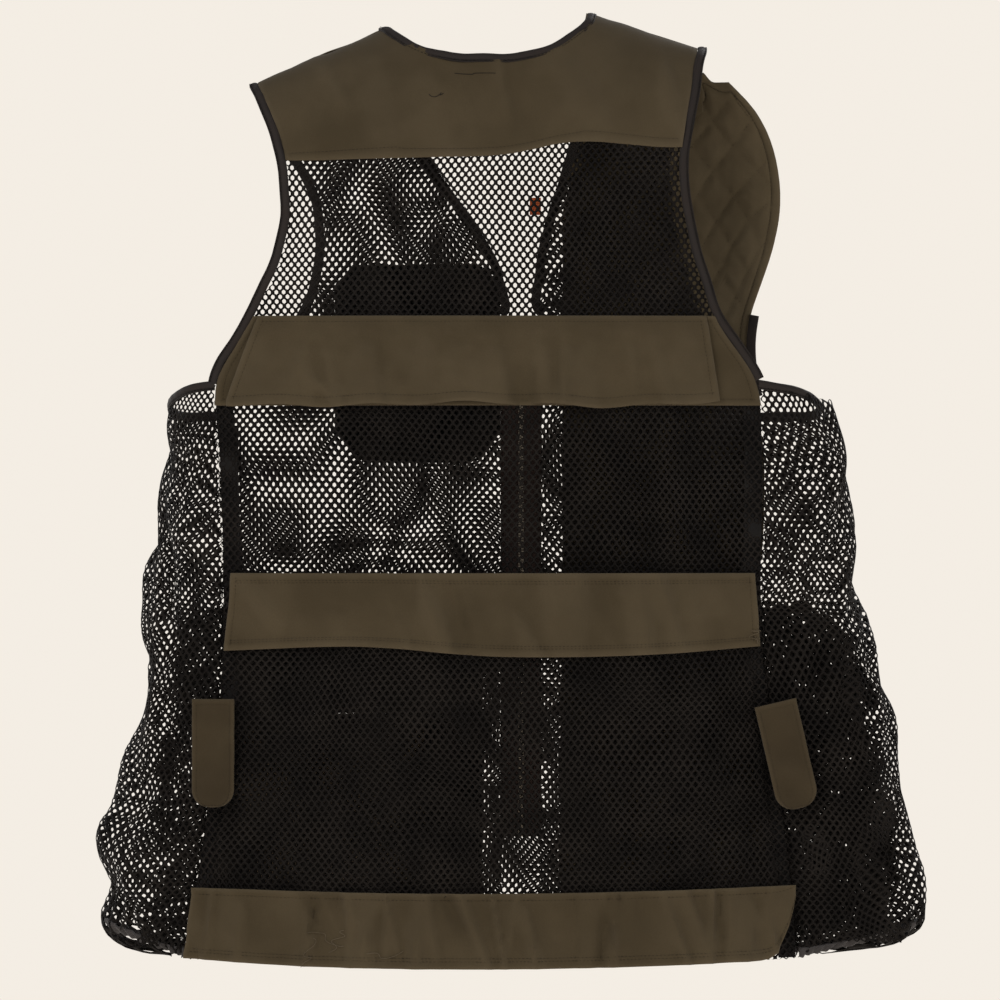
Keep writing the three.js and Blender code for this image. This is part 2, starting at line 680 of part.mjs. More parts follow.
function chestPocket() {
  const half = CHEST_WIDTH / 2;
  const foot = half - CHEST_LOWER_CORNER;
  const head = half - CHEST_UPPER_CORNER;
  // wall is the inset of the space inside, and open how far that space runs out past the top edge.
  const shape = (wall, open) => outline([
    [-half + wall, -CHEST_UPPER_CORNER], [-half + wall, -CHEST_HEIGHT + CHEST_LOWER_CORNER],
    [-foot + wall / 2, -CHEST_HEIGHT + wall], [foot - wall / 2, -CHEST_HEIGHT + wall],
    [half - wall, -CHEST_HEIGHT + CHEST_LOWER_CORNER], [half - wall, -CHEST_UPPER_CORNER],
    [head - wall, open], [-head + wall, open],
  ]);
  const pocket = new THREE.Group();
  pocket.position.set(...CHEST_PLACE);
  pocket.rotation.z = THREE.MathUtils.degToRad(CHEST_TURN);
  vest.add(pocket);
  const shell = hollow(shape(0, 0), shape(POCKET_WALL, 6), CHEST_DEPTH);
  add("chest_pocket", toGeometry(shell), blackCloth, pocket);
}

function lowerPocket(side, x, y, yaw) {
  const half = LOWER_WIDTH / 2;
  const cut = half - LOWER_CORNER;
  const rise = LOWER_HEIGHT - LOWER_CORNER;
  const pocket = new THREE.Group();
  pocket.position.set(x, y, -LOWER_TOP);
  pocket.rotation.z = THREE.MathUtils.degToRad(yaw);
  vest.add(pocket);
  const cornered = (wall) => outline([
    [-half + wall, -wall], [-half + wall, -rise], [-cut, -LOWER_HEIGHT + wall],
    [cut, -LOWER_HEIGHT + wall], [half - wall, -rise], [half - wall, -wall],
  ]);
  const mouthHalf = half - MOUTH_SIDE;
  const mouth = rectangle(-mouthHalf, -MOUTH_TOP - MOUTH_HEIGHT, mouthHalf, -MOUTH_TOP);
  const shell = hollow(cornered(0), cornered(POCKET_WALL), LOWER_DEPTH);
  const opened = shell.subtract(toSolid(plate(mouth, LOWER_DEPTH + 2)));
  add(`lower_pocket_${side}`, toGeometry(opened), olive, pocket);

  // The zip that closes the mouth: a tape with a slot down its middle, and the coil in the slot.
  const middle = -MOUTH_TOP - MOUTH_HEIGHT / 2;
  const reach = mouthHalf - GAP;
  const tapeHalf = MOUTH_HEIGHT / 2 - GAP;
  const tapeShape = rectangle(-reach, middle - tapeHalf, reach, middle + tapeHalf);
  const slotHalf = reach - 6;
  const slot = new THREE.Path([
    new THREE.Vector2(-slotHalf, middle - COIL_WIDTH),
    new THREE.Vector2(-slotHalf, middle + COIL_WIDTH),
    new THREE.Vector2(slotHalf, middle + COIL_WIDTH),
    new THREE.Vector2(slotHalf, middle - COIL_WIDTH),
  ]);
  tapeShape.holes.push(slot);
  const face = -LOWER_DEPTH + POCKET_WALL;
  add(`pocket_zip_tape_${side}`, plate(tapeShape, NET, face), zipTape, pocket);
  const coilHalf = COIL_WIDTH - GAP;
  const coilShape = rectangle(-slotHalf + GAP, middle - coilHalf, slotHalf - GAP, middle + coilHalf);
  add(`pocket_zip_teeth_${side}`, plate(coilShape, TEETH_THICK, face + 0.6), coil, pocket);

  // The slider starts at the end of the mouth nearest the front closure.
  const { half: sliderHalf, length, thick } = SMALL_SLIDER;
  const toCentre = side === "left" ? -1 : 1;
  const start = slotHalf - 2;
  const slider = new THREE.Group();
  slider.position.set(toCentre * start, face + 0.6 - TEETH_THICK - GAP, middle);
  slider.rotation.y = (toCentre * -Math.PI) / 2;
  pocket.add(slider);
  add(`pocket_zip_slider_${side}`, sliderGeometry(sliderHalf, length, thick), steel, slider);
  const pull = add(`pocket_zip_pull_${side}`, pullGeometry(6, 24, 1.2), steel, pocket);
  const eye = slider.position.y - thick - PULL_STAND;
  pull.position.set(toCentre * (start - length / 2), eye, middle);
}

// ---- Side tabs ----

function tabShape(width, length) {
  const half = width / 2;
  const corner = width * 0.42;
  const shape = new THREE.Shape();
  shape.moveTo(-half, 0);
  shape.lineTo(-half, -length + corner);
  shape.quadraticCurveTo(-half, -length, -half + corner, -length);
  shape.lineTo(half - corner, -length);
  shape.quadraticCurveTo(half, -length, half, -length + corner);
  shape.lineTo(half, 0);
  return shape;
}

// Each tab is sewn down at its top edge over a shorter one, and carries a hook patch on its inside.
function sideTab(side, x, level, yaw, roll) {
  const tab = new THREE.Group();
  const seat = onBack(x, -level);
  tab.position.set(seat.x, seat.y + TAB_STAND, -level);
  tab.rotation.set(0, THREE.MathUtils.degToRad(roll), THREE.MathUtils.degToRad(yaw), "ZYX");
  vest.add(tab);
  const outward = (geometry) => geometry.rotateZ(Math.PI);
  const under = plate(tabShape(TAB_WIDTH - 1, TAB_LENGTH * 0.74), TAB_THICK);
  add(`tab_under_${side}`, outward(under.translate(0, 0, -1)), olive, tab);
  const patchBack = -TAB_THICK - GAP;
  const patch = plate(rectangle(-11, -TAB_LENGTH + 14, 11, -TAB_LENGTH * 0.5), 0.8, patchBack);
  add(`tab_hook_patch_${side}`, outward(patch), blackCloth, tab);
  const upper = plate(tabShape(TAB_WIDTH, TAB_LENGTH), TAB_THICK, patchBack - 0.8 - GAP);
  add(`tab_${side}`, outward(upper), olive, tab);
}

// ---- Small trim ----

const TAG_LEVEL = 147;
const TAG_X = -36.5;

function edgeTag() {
  const seat = onFront(TAG_X - 4.5, -TAG_LEVEL);
  const tag = add("edge_tag", box(-4.5, -0.8, -7, 4.5, 0.8, 7), orange);
  tag.position.set(TAG_X, seat.y + 1.2, -TAG_LEVEL);
}

// ---- Assembly ----

backYoke();
backPanels();
ventFlap();
pouch();
sides();
seamTapes();
bindings();
frontShoulders();
frontPanels();
gunPad();
frontOverlays();
mainZip();
chestPocket();
lowerPocket("left", 130, -75, 7);
lowerPocket("right", -138, -76, -7);
sideTab("left", 219, 542, -10, 0);
sideTab("right", -226, 545, 8, 13);
edgeTag();

export default vest;
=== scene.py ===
"""A netting field vest with olive bands, a quilted gun pad, zips and patch pockets, around its CAD frame.

Metres, +Z up. The front faces -Y, the back faces +Y and the wearer's left is +X.
"""

import json
import math

import bpy
import numpy as np
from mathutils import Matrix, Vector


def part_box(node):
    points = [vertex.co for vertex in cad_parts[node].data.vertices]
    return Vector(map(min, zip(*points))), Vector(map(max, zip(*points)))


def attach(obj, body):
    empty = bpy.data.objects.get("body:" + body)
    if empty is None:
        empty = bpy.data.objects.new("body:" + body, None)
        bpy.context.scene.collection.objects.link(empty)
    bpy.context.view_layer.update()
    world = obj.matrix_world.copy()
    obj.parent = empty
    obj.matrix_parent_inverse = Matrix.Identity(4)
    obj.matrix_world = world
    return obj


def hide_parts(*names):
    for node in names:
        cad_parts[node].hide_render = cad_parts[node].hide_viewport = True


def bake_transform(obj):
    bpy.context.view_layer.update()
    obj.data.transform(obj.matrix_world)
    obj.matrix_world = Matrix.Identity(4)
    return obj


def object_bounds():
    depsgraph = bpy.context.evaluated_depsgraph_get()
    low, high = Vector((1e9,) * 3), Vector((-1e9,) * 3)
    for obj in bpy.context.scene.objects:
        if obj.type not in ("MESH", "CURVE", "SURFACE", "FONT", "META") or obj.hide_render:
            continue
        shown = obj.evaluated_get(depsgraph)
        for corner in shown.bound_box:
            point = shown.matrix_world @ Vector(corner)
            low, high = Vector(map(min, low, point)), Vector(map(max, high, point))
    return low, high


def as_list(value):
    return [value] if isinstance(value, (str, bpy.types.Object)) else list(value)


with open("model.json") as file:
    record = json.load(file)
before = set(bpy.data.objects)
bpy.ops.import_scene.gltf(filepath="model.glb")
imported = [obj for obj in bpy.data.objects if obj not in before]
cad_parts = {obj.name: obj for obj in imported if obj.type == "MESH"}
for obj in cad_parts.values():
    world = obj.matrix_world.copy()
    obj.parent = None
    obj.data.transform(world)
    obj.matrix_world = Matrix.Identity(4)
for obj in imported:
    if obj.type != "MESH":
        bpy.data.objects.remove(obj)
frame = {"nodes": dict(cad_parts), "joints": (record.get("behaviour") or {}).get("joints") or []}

cad_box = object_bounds()

# ---- Camera, light and floor ----

CAMERA_DISTANCE = 8.0
VIEW_WIDTH = 0.8
VIEW_CENTRE = (-0.008, -0.384)
SENSOR = 36.0
VEST_MIDDLE = (0.0, 0.0, -0.4)
FLOOR_DROP = 0.55  # the floor lies this far below the hem
FLOOR_SIZE = 18.0


def add_camera():
    data = bpy.data.cameras.new("camera")
    data.sensor_width = SENSOR
    data.lens = SENSOR * CAMERA_DISTANCE / VIEW_WIDTH
    data.clip_end = 60.0
    camera = bpy.data.objects.new("camera", data)
    camera.location = (VIEW_CENTRE[0], CAMERA_DISTANCE, VIEW_CENTRE[1])
    camera.rotation_euler = (math.pi / 2, 0, math.pi)
    bpy.context.scene.collection.objects.link(camera)
    bpy.context.scene.camera = camera


def add_area_light(name, place, size, power):
    data = bpy.data.lights.new(name, "AREA")
    data.size = size
    data.energy = power
    light = bpy.data.objects.new(name, data)
    light.location = place
    toward = np.array(VEST_MIDDLE) - np.array(place)
    yaw = math.atan2(-toward[0], toward[1])
    pitch = math.atan2(math.hypot(toward[0], toward[1]), -toward[2])
    light.rotation_euler = (pitch, 0, yaw)
    bpy.context.scene.collection.objects.link(light)


def add_light():
    add_area_light("key_back", (1.5, 2.4, 1.3), 1.6, 38)
    add_area_light("fill_back", (-2.2, 2.0, 0.2), 2.0, 16)
    add_area_light("key_front", (-1.5, -2.4, 1.3), 1.6, 40)
    add_area_light("fill_front", (2.2, -2.0, 0.2), 2.0, 18)
    world = bpy.data.worlds.new("studio")
    bpy.context.scene.world = world
    world.use_nodes = True
    nodes, links = world.node_tree.nodes, world.node_tree.links
    nodes.clear()
    path = nodes.new("ShaderNodeLightPath")
    seen = nodes.new("ShaderNodeBackground")
    seen.inputs["Color"].default_value = (0.905, 0.85, 0.775, 1)
    lit = nodes.new("ShaderNodeBackground")
    lit.inputs["Color"].default_value = (0.95, 0.96, 1.0, 1)
    lit.inputs["Strength"].default_value = 0.39
    mix = nodes.new("ShaderNodeMixShader")
    out = nodes.new("ShaderNodeOutputWorld")
    links.new(path.outputs["Is Camera Ray"], mix.inputs["Fac"])
    links.new(lit.outputs[0], mix.inputs[1])
    links.new(seen.outputs[0], mix.inputs[2])
    links.new(mix.outputs[0], out.inputs["Surface"])
    bpy.context.scene.view_settings.view_transform = "Standard"


def add_floor():
    bottom = cad_box[0].z - FLOOR_DROP
    half = FLOOR_SIZE / 2
    corners = [(-half, -half, bottom), (half, -half, bottom), (half, half, bottom), (-half, half, bottom)]
    mesh = bpy.data.meshes.new("floor")
    mesh.from_pydata(corners, [], [(0, 1, 2, 3)])
    floor = bpy.data.objects.new("floor", mesh)
    bpy.context.scene.collection.objects.link(floor)
    material = bpy.data.materials.new("floor_paper")
    material.use_nodes = True
    shader = material.node_tree.nodes["Principled BSDF"]
    shader.inputs["Base Color"].default_value = (0.86, 0.81, 0.74, 1)
    shader.inputs["Roughness"].default_value = 0.9
    shader.inputs["Emission Color"].default_value = (0.90, 0.84, 0.76, 1)
    shader.inputs["Emission Strength"].default_value = 0.50
    mesh.materials.append(material)


# ---- Materials ----


class Nodes:
    """Short forms for building a material's nodes."""

    def __init__(self, name):
        self.material = bpy.data.materials.new(name)
        self.material.use_nodes = True
        self.tree = self.material.node_tree
        self.shader = self.tree.nodes["Principled BSDF"]
        self.place = self.tree.nodes.new("ShaderNodeTexCoord").outputs["Object"]

    def link(self, source, target):
        self.tree.links.new(source, target)

    def noise(self, scale, detail=3.0, roughness=0.55):
        node = self.tree.nodes.new("ShaderNodeTexNoise")
        node.inputs["Scale"].default_value = scale
        node.inputs["Detail"].default_value = detail
        node.inputs["Roughness"].default_value = roughness
        self.link(self.place, node.inputs["Vector"])
        return node.outputs["Fac"]

    def wave(self, axis, period, distortion=0.0):
        node = self.tree.nodes.new("ShaderNodeTexWave")
        node.wave_type = "BANDS"
        node.bands_direction = axis
        node.inputs["Scale"].default_value = 2 * math.pi / (20 * period)
        node.inputs["Distortion"].default_value = distortion
        node.inputs["Detail Scale"].default_value = 2.0
        self.link(self.place, node.inputs["Vector"])
        return node.outputs["Fac"]

    def math(self, operation, first, second):
        node = self.tree.nodes.new("ShaderNodeMath")
        node.operation = operation
        for value, socket in zip((first, second), node.inputs):
            if isinstance(value, (int, float)):
                socket.default_value = value
            else:
                self.link(value, socket)
        return node.outputs[0]

    def spread(self, value, low, high, to_low=0.0, to_high=1.0):
        node = self.tree.nodes.new("ShaderNodeMapRange")
        self.link(value, node.inputs["Value"])
        node.inputs["From Min"].default_value = low
        node.inputs["From Max"].default_value = high
        node.inputs["To Min"].default_value = to_low
        node.inputs["To Max"].default_value = to_high
        return node.outputs[0]

    def attribute(self, name):
        node = self.tree.nodes.new("ShaderNodeAttribute")
        node.attribute_name = name
        return node.outputs["Fac"]

    def mix(self, share, first, second):
        node = self.tree.nodes.new("ShaderNodeMix")
        node.data_type = "RGBA"
        for value, socket in zip((share, first, second), (node.inputs[0], node.inputs[6], node.inputs[7])):
            if isinstance(value, tuple):
                socket.default_value = (*value, 1)
            elif isinstance(value, float):
                socket.default_value = value
            else:
                self.link(value, socket)
        return node.outputs[2]

    def bump(self, height, strength, distance):
        node = self.tree.nodes.new("ShaderNodeBump")
        node.inputs["Strength"].default_value = strength
        node.inputs["Distance"].default_value = distance
        self.link(height, node.inputs["Height"])
        self.link(node.outputs[0], self.shader.inputs["Normal"])

    def finish(self, colour, roughness, sheen=0.0, metallic=0.0, specular=0.3):
        self.link(colour, self.shader.inputs["Base Color"])
        self.link(roughness, self.shader.inputs["Roughness"])
        self.shader.inputs["Sheen Weight"].default_value = sheen
        self.shader.inputs["Sheen Roughness"].default_value = 0.45
        self.shader.inputs["Metallic"].default_value = metallic
        self.shader.inputs["Specular IOR Level"].default_value = specular
        return self.material


def woven(name, dark, light, worn_and_lit, thread=0.00045, sheen=0.06):
    """Plain-woven cloth with broad colour drift, fine slubs, lighter worn edges, and painted highlights on
    raised folds and puffs.
    """
    n = Nodes(name)
    weave = n.math("MULTIPLY", n.wave("X", thread, 0.6), n.wave("Z", thread * 1.15, 0.6))
    slubs = n.noise(900, 2.0)
    broad = n.spread(n.noise(16, 3.0), 0.35, 0.65)
    colour = n.mix(broad, dark, light)
    fine = n.spread(n.math("ADD", slubs, weave), 0.4, 1.3, 0.0, 0.35)
    colour = n.mix(fine, colour, tuple(0.62 * c for c in dark))
    # Lighter towards this colour at worn edges, and on raised folds and puffs as a painted highlight.
    colour = n.mix(n.attribute("wear_and_highlight"), colour, worn_and_lit)
    n.bump(n.math("ADD", weave, n.math("MULTIPLY", slubs, 0.6)), 0.45, 0.0002)
    return n.finish(colour, n.spread(slubs, 0.3, 0.7, 0.82, 0.97), sheen, specular=0.12)


def knitted(name, dark, light):
    """Polyester yarn: fine fibres and a slight shine."""
    n = Nodes(name)
    fibres = n.noise(2600, 2.0, 0.7)
    drift = n.noise(30, 2.0)
    share = n.spread(n.math("MULTIPLY", fibres, drift), 0.16, 0.40)
    n.bump(fibres, 0.6, 0.0002)
    return n.finish(n.mix(share, dark, light), n.spread(fibres, 0.3, 0.7, 0.6, 0.85), 0.0, specular=0.12)


def ribbed(name, dark, light, period=0.0009, shine=0.55, sheen=0.1):
    """Grosgrain or woven tape, ribbed across."""
    n = Nodes(name)
    ribs = n.math("MAXIMUM", n.wave("DIAGONAL", period, 0.4), n.noise(1400, 2.0))
    drift = n.spread(n.noise(60, 3.0), 0.3, 0.7)
    colour = n.mix(n.math("MULTIPLY", drift, ribs), dark, light)
    # Lighter at worn edges, and as a painted highlight on fold crests and along the ridge of a binding.
    colour = n.mix(n.attribute("wear_and_highlight"), colour, light)
    n.bump(ribs, 0.5, 0.0002)
    return n.finish(colour, n.spread(drift, 0.0, 1.0, shine, shine + 0.2), sheen, specular=0.22)


def moulded(name, dark, light):
    """Moulded plastic with a fine grain."""
    n = Nodes(name)
    grain = n.noise(700, 3.0)
    n.bump(grain, 0.2, 0.0001)
    colour = n.mix(n.spread(grain, 0.3, 0.7), dark, light)
    return n.finish(colour, n.spread(grain, 0.3, 0.7, 0.35, 0.55))


def plated(name):
    """Worn nickel plate with fine scratches and dull patches."""
    n = Nodes(name)
    patches = n.noise(500, 4.0)
    scratches = n.wave("DIAGONAL", 0.0007, 6.0)
    colour = n.mix(n.spread(patches, 0.35, 0.65), (0.30, 0.28, 0.25), (0.55, 0.52, 0.48))
    n.bump(scratches, 0.15, 0.0001)
    return n.finish(colour, n.spread(patches, 0.3, 0.7, 0.28, 0.5), metallic=1.0, specular=0.5)


OLIVE_DARK = (0.055, 0.040, 0.021)
OLIVE_LIGHT = (0.072, 0.053, 0.029)
OLIVE_WORN_AND_LIT = (0.105, 0.080, 0.048)

olive = woven("olive_poplin", OLIVE_DARK, OLIVE_LIGHT, OLIVE_WORN_AND_LIT)
tab_olive = woven("tab_poplin", (0.037, 0.026, 0.0135), (0.050, 0.036, 0.019), (0.080, 0.060, 0.035))
# The same olive as the poplin, made lighter as painted light on the gun pad.
quilt_painted_light = woven("olive_quilting_painted_light", (0.078, 0.058, 0.032), (0.106, 0.080, 0.046), (0.135, 0.104, 0.064))
lining = woven("black_cloth", (0.0050, 0.0047, 0.0050), (0.0095, 0.009, 0.0095), (0.022, 0.021, 0.020),
               sheen=0.02)
yarn = knitted("net_yarn", (0.0042, 0.0029, 0.0022), (0.0145, 0.0112, 0.0088))
edging = ribbed("edge_binding", (0.0085, 0.0060, 0.0050), (0.025, 0.0180, 0.0145), shine=0.62, sheen=0.02)
seam_yarn = ribbed("seam_tape", (0.0042, 0.0034, 0.0030), (0.010, 0.0085, 0.0075), shine=0.8, sheen=0.0)
zip_cloth = ribbed("zip_tape", (0.024, 0.013, 0.010), (0.050, 0.030, 0.024), period=0.0011, shine=0.75)
elastic = ribbed("gathered_elastic", (0.020, 0.017, 0.016), (0.055, 0.048, 0.045), period=0.0016, shine=0.6)
pocket_zip_cloth = ribbed("pocket_zip_tape", (0.070, 0.034, 0.026), (0.125, 0.066, 0.050), period=0.0011,
                          shine=0.75)
satin = ribbed("orange_satin", (0.55, 0.10, 0.03), (0.80, 0.20, 0.06), shine=0.4)
olive_thread = woven("olive_thread", (0.030, 0.021, 0.011), (0.050, 0.037, 0.021), OLIVE_WORN_AND_LIT, thread=0.0003)
# Paler than the vest's cloth: painted light inside the lower left pocket, which lies in shade.
pocket_back_painted_light = woven("pocket_lining_painted_light", (0.115, 0.083, 0.052), (0.185, 0.135, 0.088), (0.20, 0.15, 0.10))
pale_olive_thread = woven("pale_olive_thread", (0.085, 0.064, 0.038), (0.13, 0.10, 0.065), OLIVE_WORN_AND_LIT)
pale_thread = woven("pale_thread", (0.22, 0.17, 0.09), (0.34, 0.27, 0.16), (0.34, 0.27, 0.16), thread=0.0003)
dark_thread = woven("dark_thread", (0.008, 0.006, 0.005), (0.018, 0.014, 0.012), (0.03, 0.025, 0.022))
tooth_plastic = moulded("zip_teeth", (0.16, 0.13, 0.095), (0.34, 0.29, 0.22))
nickel = plated("worn_nickel")
hooks = knitted("hook_patch", (0.006, 0.006, 0.006), (0.03, 0.03, 0.03))

# ---- The body's shells, as the CAD model bends them ----

BACK_DEPTH = 0.072
FRONT_DEPTH = 0.078
SHOULDER_ROUNDING = 0.085
HALF_CHEST = 0.220
SIDE_CURVE = 0.3
SHOULDER_TOP = 0.029
SHOULDER_SLOPE = 0.375
SHOULDER_TILT = 0.06


def ridge(x):
    return SHOULDER_TOP - SHOULDER_SLOPE * np.abs(x) - SHOULDER_TILT * x


def roundness(x, z):
    drop = np.maximum(ridge(x) - z, 0.0)
    return np.sqrt(1 - np.exp(-drop / SHOULDER_ROUNDING))


def on_back(x, z):
    side = 1 - SIDE_CURVE * np.abs(x / HALF_CHEST) ** 3
    return np.stack([x, BACK_DEPTH * roundness(x, z) * side, z], -1)


def on_front(x, z):
    side = 1 - SIDE_CURVE * (x / HALF_CHEST) ** 2
    return np.stack([x, -FRONT_DEPTH * roundness(x, z) * side, z], -1)


# ---- Outlines, cut from the CAD nodes ----


def edges_of(names):
    """The two ends of every edge of these nodes."""
    found = []
    for name in names:
        mesh = frame["nodes"][name].data
        points = np.array([v.co for v in mesh.vertices])
        pairs = np.array([e.vertices for e in mesh.edges])
        found.append(points[pairs])
    return np.concatenate(found)


def outline(names, side, top=None, bottom=None):
    """A function that gives the nodes' outermost x at any level between top and bottom. side is 1 or -1."""
    return edge_curve(names, side, 2, 0, bottom, top, samples=90)


def level_curve(name, side, low=None, high=None):
    """A function that gives a node's top (side 1) or bottom (side -1) level at any x from low to high."""
    return edge_curve([name], side, 0, 2, low, high)


def edge_curve(names, side, along, across, low=None, high=None, samples=70):
    """The nodes' outermost place on the across axis, against the place on the along axis."""
    edges = edges_of(names)
    low = edges[..., along].min() if low is None else low
    high = edges[..., along].max() if high is None else high
    places = np.linspace(low + 1e-4, high - 1e-4, samples)
    found = []
    for place in places:
        ends = edges[..., along] - place
        crossing = edges[ends[:, 0] * ends[:, 1] <= 0]
        if len(crossing) == 0:
            found.append(found[-1])
            continue
        start, end = crossing[:, 0], crossing[:, 1]
        run = end[:, along] - start[:, along]
        share = np.where(np.abs(run) < 1e-12, 0, (place - start[:, along]) / np.where(run == 0, 1, run))
        value = start[:, across] + share * (end[:, across] - start[:, across])
        found.append(value.max() if side > 0 else value.min())
    found = np.array(found)
    for _ in range(3):
        found[1:-1] = (found[:-2] + 2 * found[1:-1] + found[2:]) / 4
    return lambda place_along: np.interp(place_along, places, found)


# ---- Fields for rumples and folds ----


WAVES = 7  # waves in each ripple field


def ripple(a, b, size, seed):
    """A smooth random field of about -1 to 1 over two coordinates."""
    rng = np.random.default_rng(seed)
    total = np.zeros(np.broadcast(a, b).shape)
    for _ in range(WAVES):
        angle = rng.uniform(0, math.pi)
        reach = 2 * math.pi / size * rng.uniform(0.6, 1.6)
        phase = rng.uniform(0, 2 * math.pi)
        total = total + np.sin(reach * (a * math.cos(angle) + b * math.sin(angle)) + phase)
    return total / math.sqrt(WAVES)


def creases(a, b, low, high, count, lean, width, height, seed):
    """Soft folds between two corners of the sheet. lean is their mean angle from upright, in radians."""
    rng = np.random.default_rng(seed)
    total = np.zeros(np.broadcast(a, b).shape)
    tall = high[1] - low[1]
    for _ in range(count):
        middle_a = rng.uniform(low[0], high[0])
        middle_b = rng.uniform(low[1], high[1])
        angle = lean + rng.normal(0, 0.22)
        half = tall * rng.uniform(0.35, 0.9)
        wide = width * rng.uniform(0.6, 1.5)
        rise = height * rng.uniform(0.4, 1.0) * rng.choice([1, 1, -1])
        da, db = a - middle_a, b - middle_b
        off = da * math.cos(angle) - db * math.sin(angle)
        down = da * math.sin(angle) + db * math.cos(angle)
        skew = np.where(off > 0, off / wide, off / (0.55 * wide))
        total = total + rise * np.exp(-(skew**2)) * np.exp(-((down / half) ** 4))
    return total


# ---- Meshes ----


def mesh_of(name, points, faces, sharp=45.0):
    """A mesh of quads, or of any faces where they are given as a list."""
    mesh = bpy.data.meshes.new(name)
    if isinstance(faces, np.ndarray):
        used, faces = np.unique(faces, return_inverse=True)
        faces = faces.reshape(-1, 4)
        points = np.asarray(points)[used]
        mesh.vertices.add(len(points))
        mesh.vertices.foreach_set("co", points.astype(np.float32).ravel())
        mesh.loops.add(faces.size)
        mesh.loops.foreach_set("vertex_index", faces.astype(np.int32).ravel())
        mesh.polygons.add(len(faces))
        mesh.polygons.foreach_set("loop_start", np.arange(0, faces.size, 4, dtype=np.int32))
        mesh.update(calc_edges=True)
    else:
        used = np.arange(len(points))
        mesh.from_pydata([tuple(p) for p in points], [], faces)
    mesh.validate()
    mesh.shade_smooth()
    mesh.set_sharp_from_angle(angle=math.radians(sharp))
    return mesh, used


def piece(name, mesh, material, body="root", replaces=()):
    mesh.name = name
    mesh.materials.append(material)
    made = bpy.data.objects.new(name, mesh)
    bpy.context.scene.collection.objects.link(made)
    if body:
        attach(made, body)
    if replaces:
        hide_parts(*replaces)
    return made


def set_attribute(mesh, name, values):
    attribute = mesh.attributes.new(name, "FLOAT", "POINT")
    attribute.data.foreach_set("value", np.asarray(values, np.float32).ravel())


def grid_faces(keep, offset=0, flip=False):
    """Quads of a grid for the cells in keep, and the same cells' border edges as pairs of vertices."""
    rows, columns = keep.shape
    index = np.arange((rows + 1) * (columns + 1)).reshape(rows + 1, columns + 1) + offset
    a, b = index[:-1, :-1][keep], index[:-1, 1:][keep]
    c, d = index[1:, 1:][keep], index[1:, :-1][keep]
    quads = np.stack([a, d, c, b] if flip else [a, b, c, d], -1)
    padded = np.pad(keep, 1)
    border = []
    sides = [((-1, 0), index[:-1, :-1], index[:-1, 1:]), ((0, 1), index[:-1, 1:], index[1:, 1:]),
             ((1, 0), index[1:, 1:], index[1:, :-1]), ((0, -1), index[1:, :-1], index[:-1, :-1])]
    for (down, right), start, end in sides:
        beyond = padded[1 + down:1 + down + rows, 1 + right:1 + right + columns]
        open_side = keep & ~beyond
        border.append(np.stack([start[open_side], end[open_side]], -1))
    return quads, np.concatenate(border)


def thick_mesh(name, outer, inner, keep=None):
    """A closed sheet between two grids of points. The outer grid's faces wind as (u, v) do."""
    rows, columns = outer.shape[0] - 1, outer.shape[1] - 1
    if keep is None:
        keep = np.ones((rows, columns), bool)
    count = outer.shape[0] * outer.shape[1]
    top, border = grid_faces(keep, flip=True)
    bottom, _ = grid_faces(keep, offset=count)
    walls = np.stack([border[:, 0], border[:, 1], border[:, 1] + count, border[:, 0] + count], -1)
    points = np.concatenate([outer.reshape(-1, 3), inner.reshape(-1, 3)])
    return mesh_of(name, points, np.concatenate([top, bottom, walls]), sharp=60.0)


def normals_of(points, outward):
    """Unit normals of a grid of points, turned to the outward direction's side."""
    across = np.gradient(points, axis=1)
    down = np.gradient(points, axis=0)
    normal = np.cross(across, down)
    normal /= np.maximum(np.linalg.norm(normal, axis=-1, keepdims=True), 1e-12)
    side = np.sign((normal * outward).sum(-1, keepdims=True))
    side[side == 0] = 1
    return normal * side


def faces_along(points, direction):
    """True where the grid's own winding turns its faces to this direction."""
    across, down = np.gradient(points, axis=1), np.gradient(points, axis=0)
    return float((np.cross(across, down) * direction).sum()) > 0


RIM = 0.0006  # width of the rounded edge of a cloth
SEAM_HALF = 0.0011  # half the width of the dip along a stitched line
SEAM_DEPTH = 0.0004
FOLD_RISE = 0.0005  # extra height where a seam allowance is folded under


def stops(length, step, lines=()):
    """Places from 0 to 1 along a side: even steps, with closer ones at the rims and beside sewn lines."""
    fine = [0, RIM, length - RIM, length]
    for line in lines:
        fine += [line - SEAM_HALF, line, line + SEAM_HALF]
    fine = np.array(sorted(fine))
    even = np.linspace(0, length, max(round(length / step), 2) + 1)
    clear = np.array([np.abs(fine - place).min() > 0.35 * step for place in even])
    return np.sort(np.concatenate([fine, even[clear]])) / length


def dips(distance, lines, depth):
    """Stitched lines pull the cloth in at these distances from an edge."""
    total = np.zeros(distance.shape)
    for line in lines:
        total = total - depth * np.exp(-(((distance - line) / SEAM_HALF) ** 2))
    return total


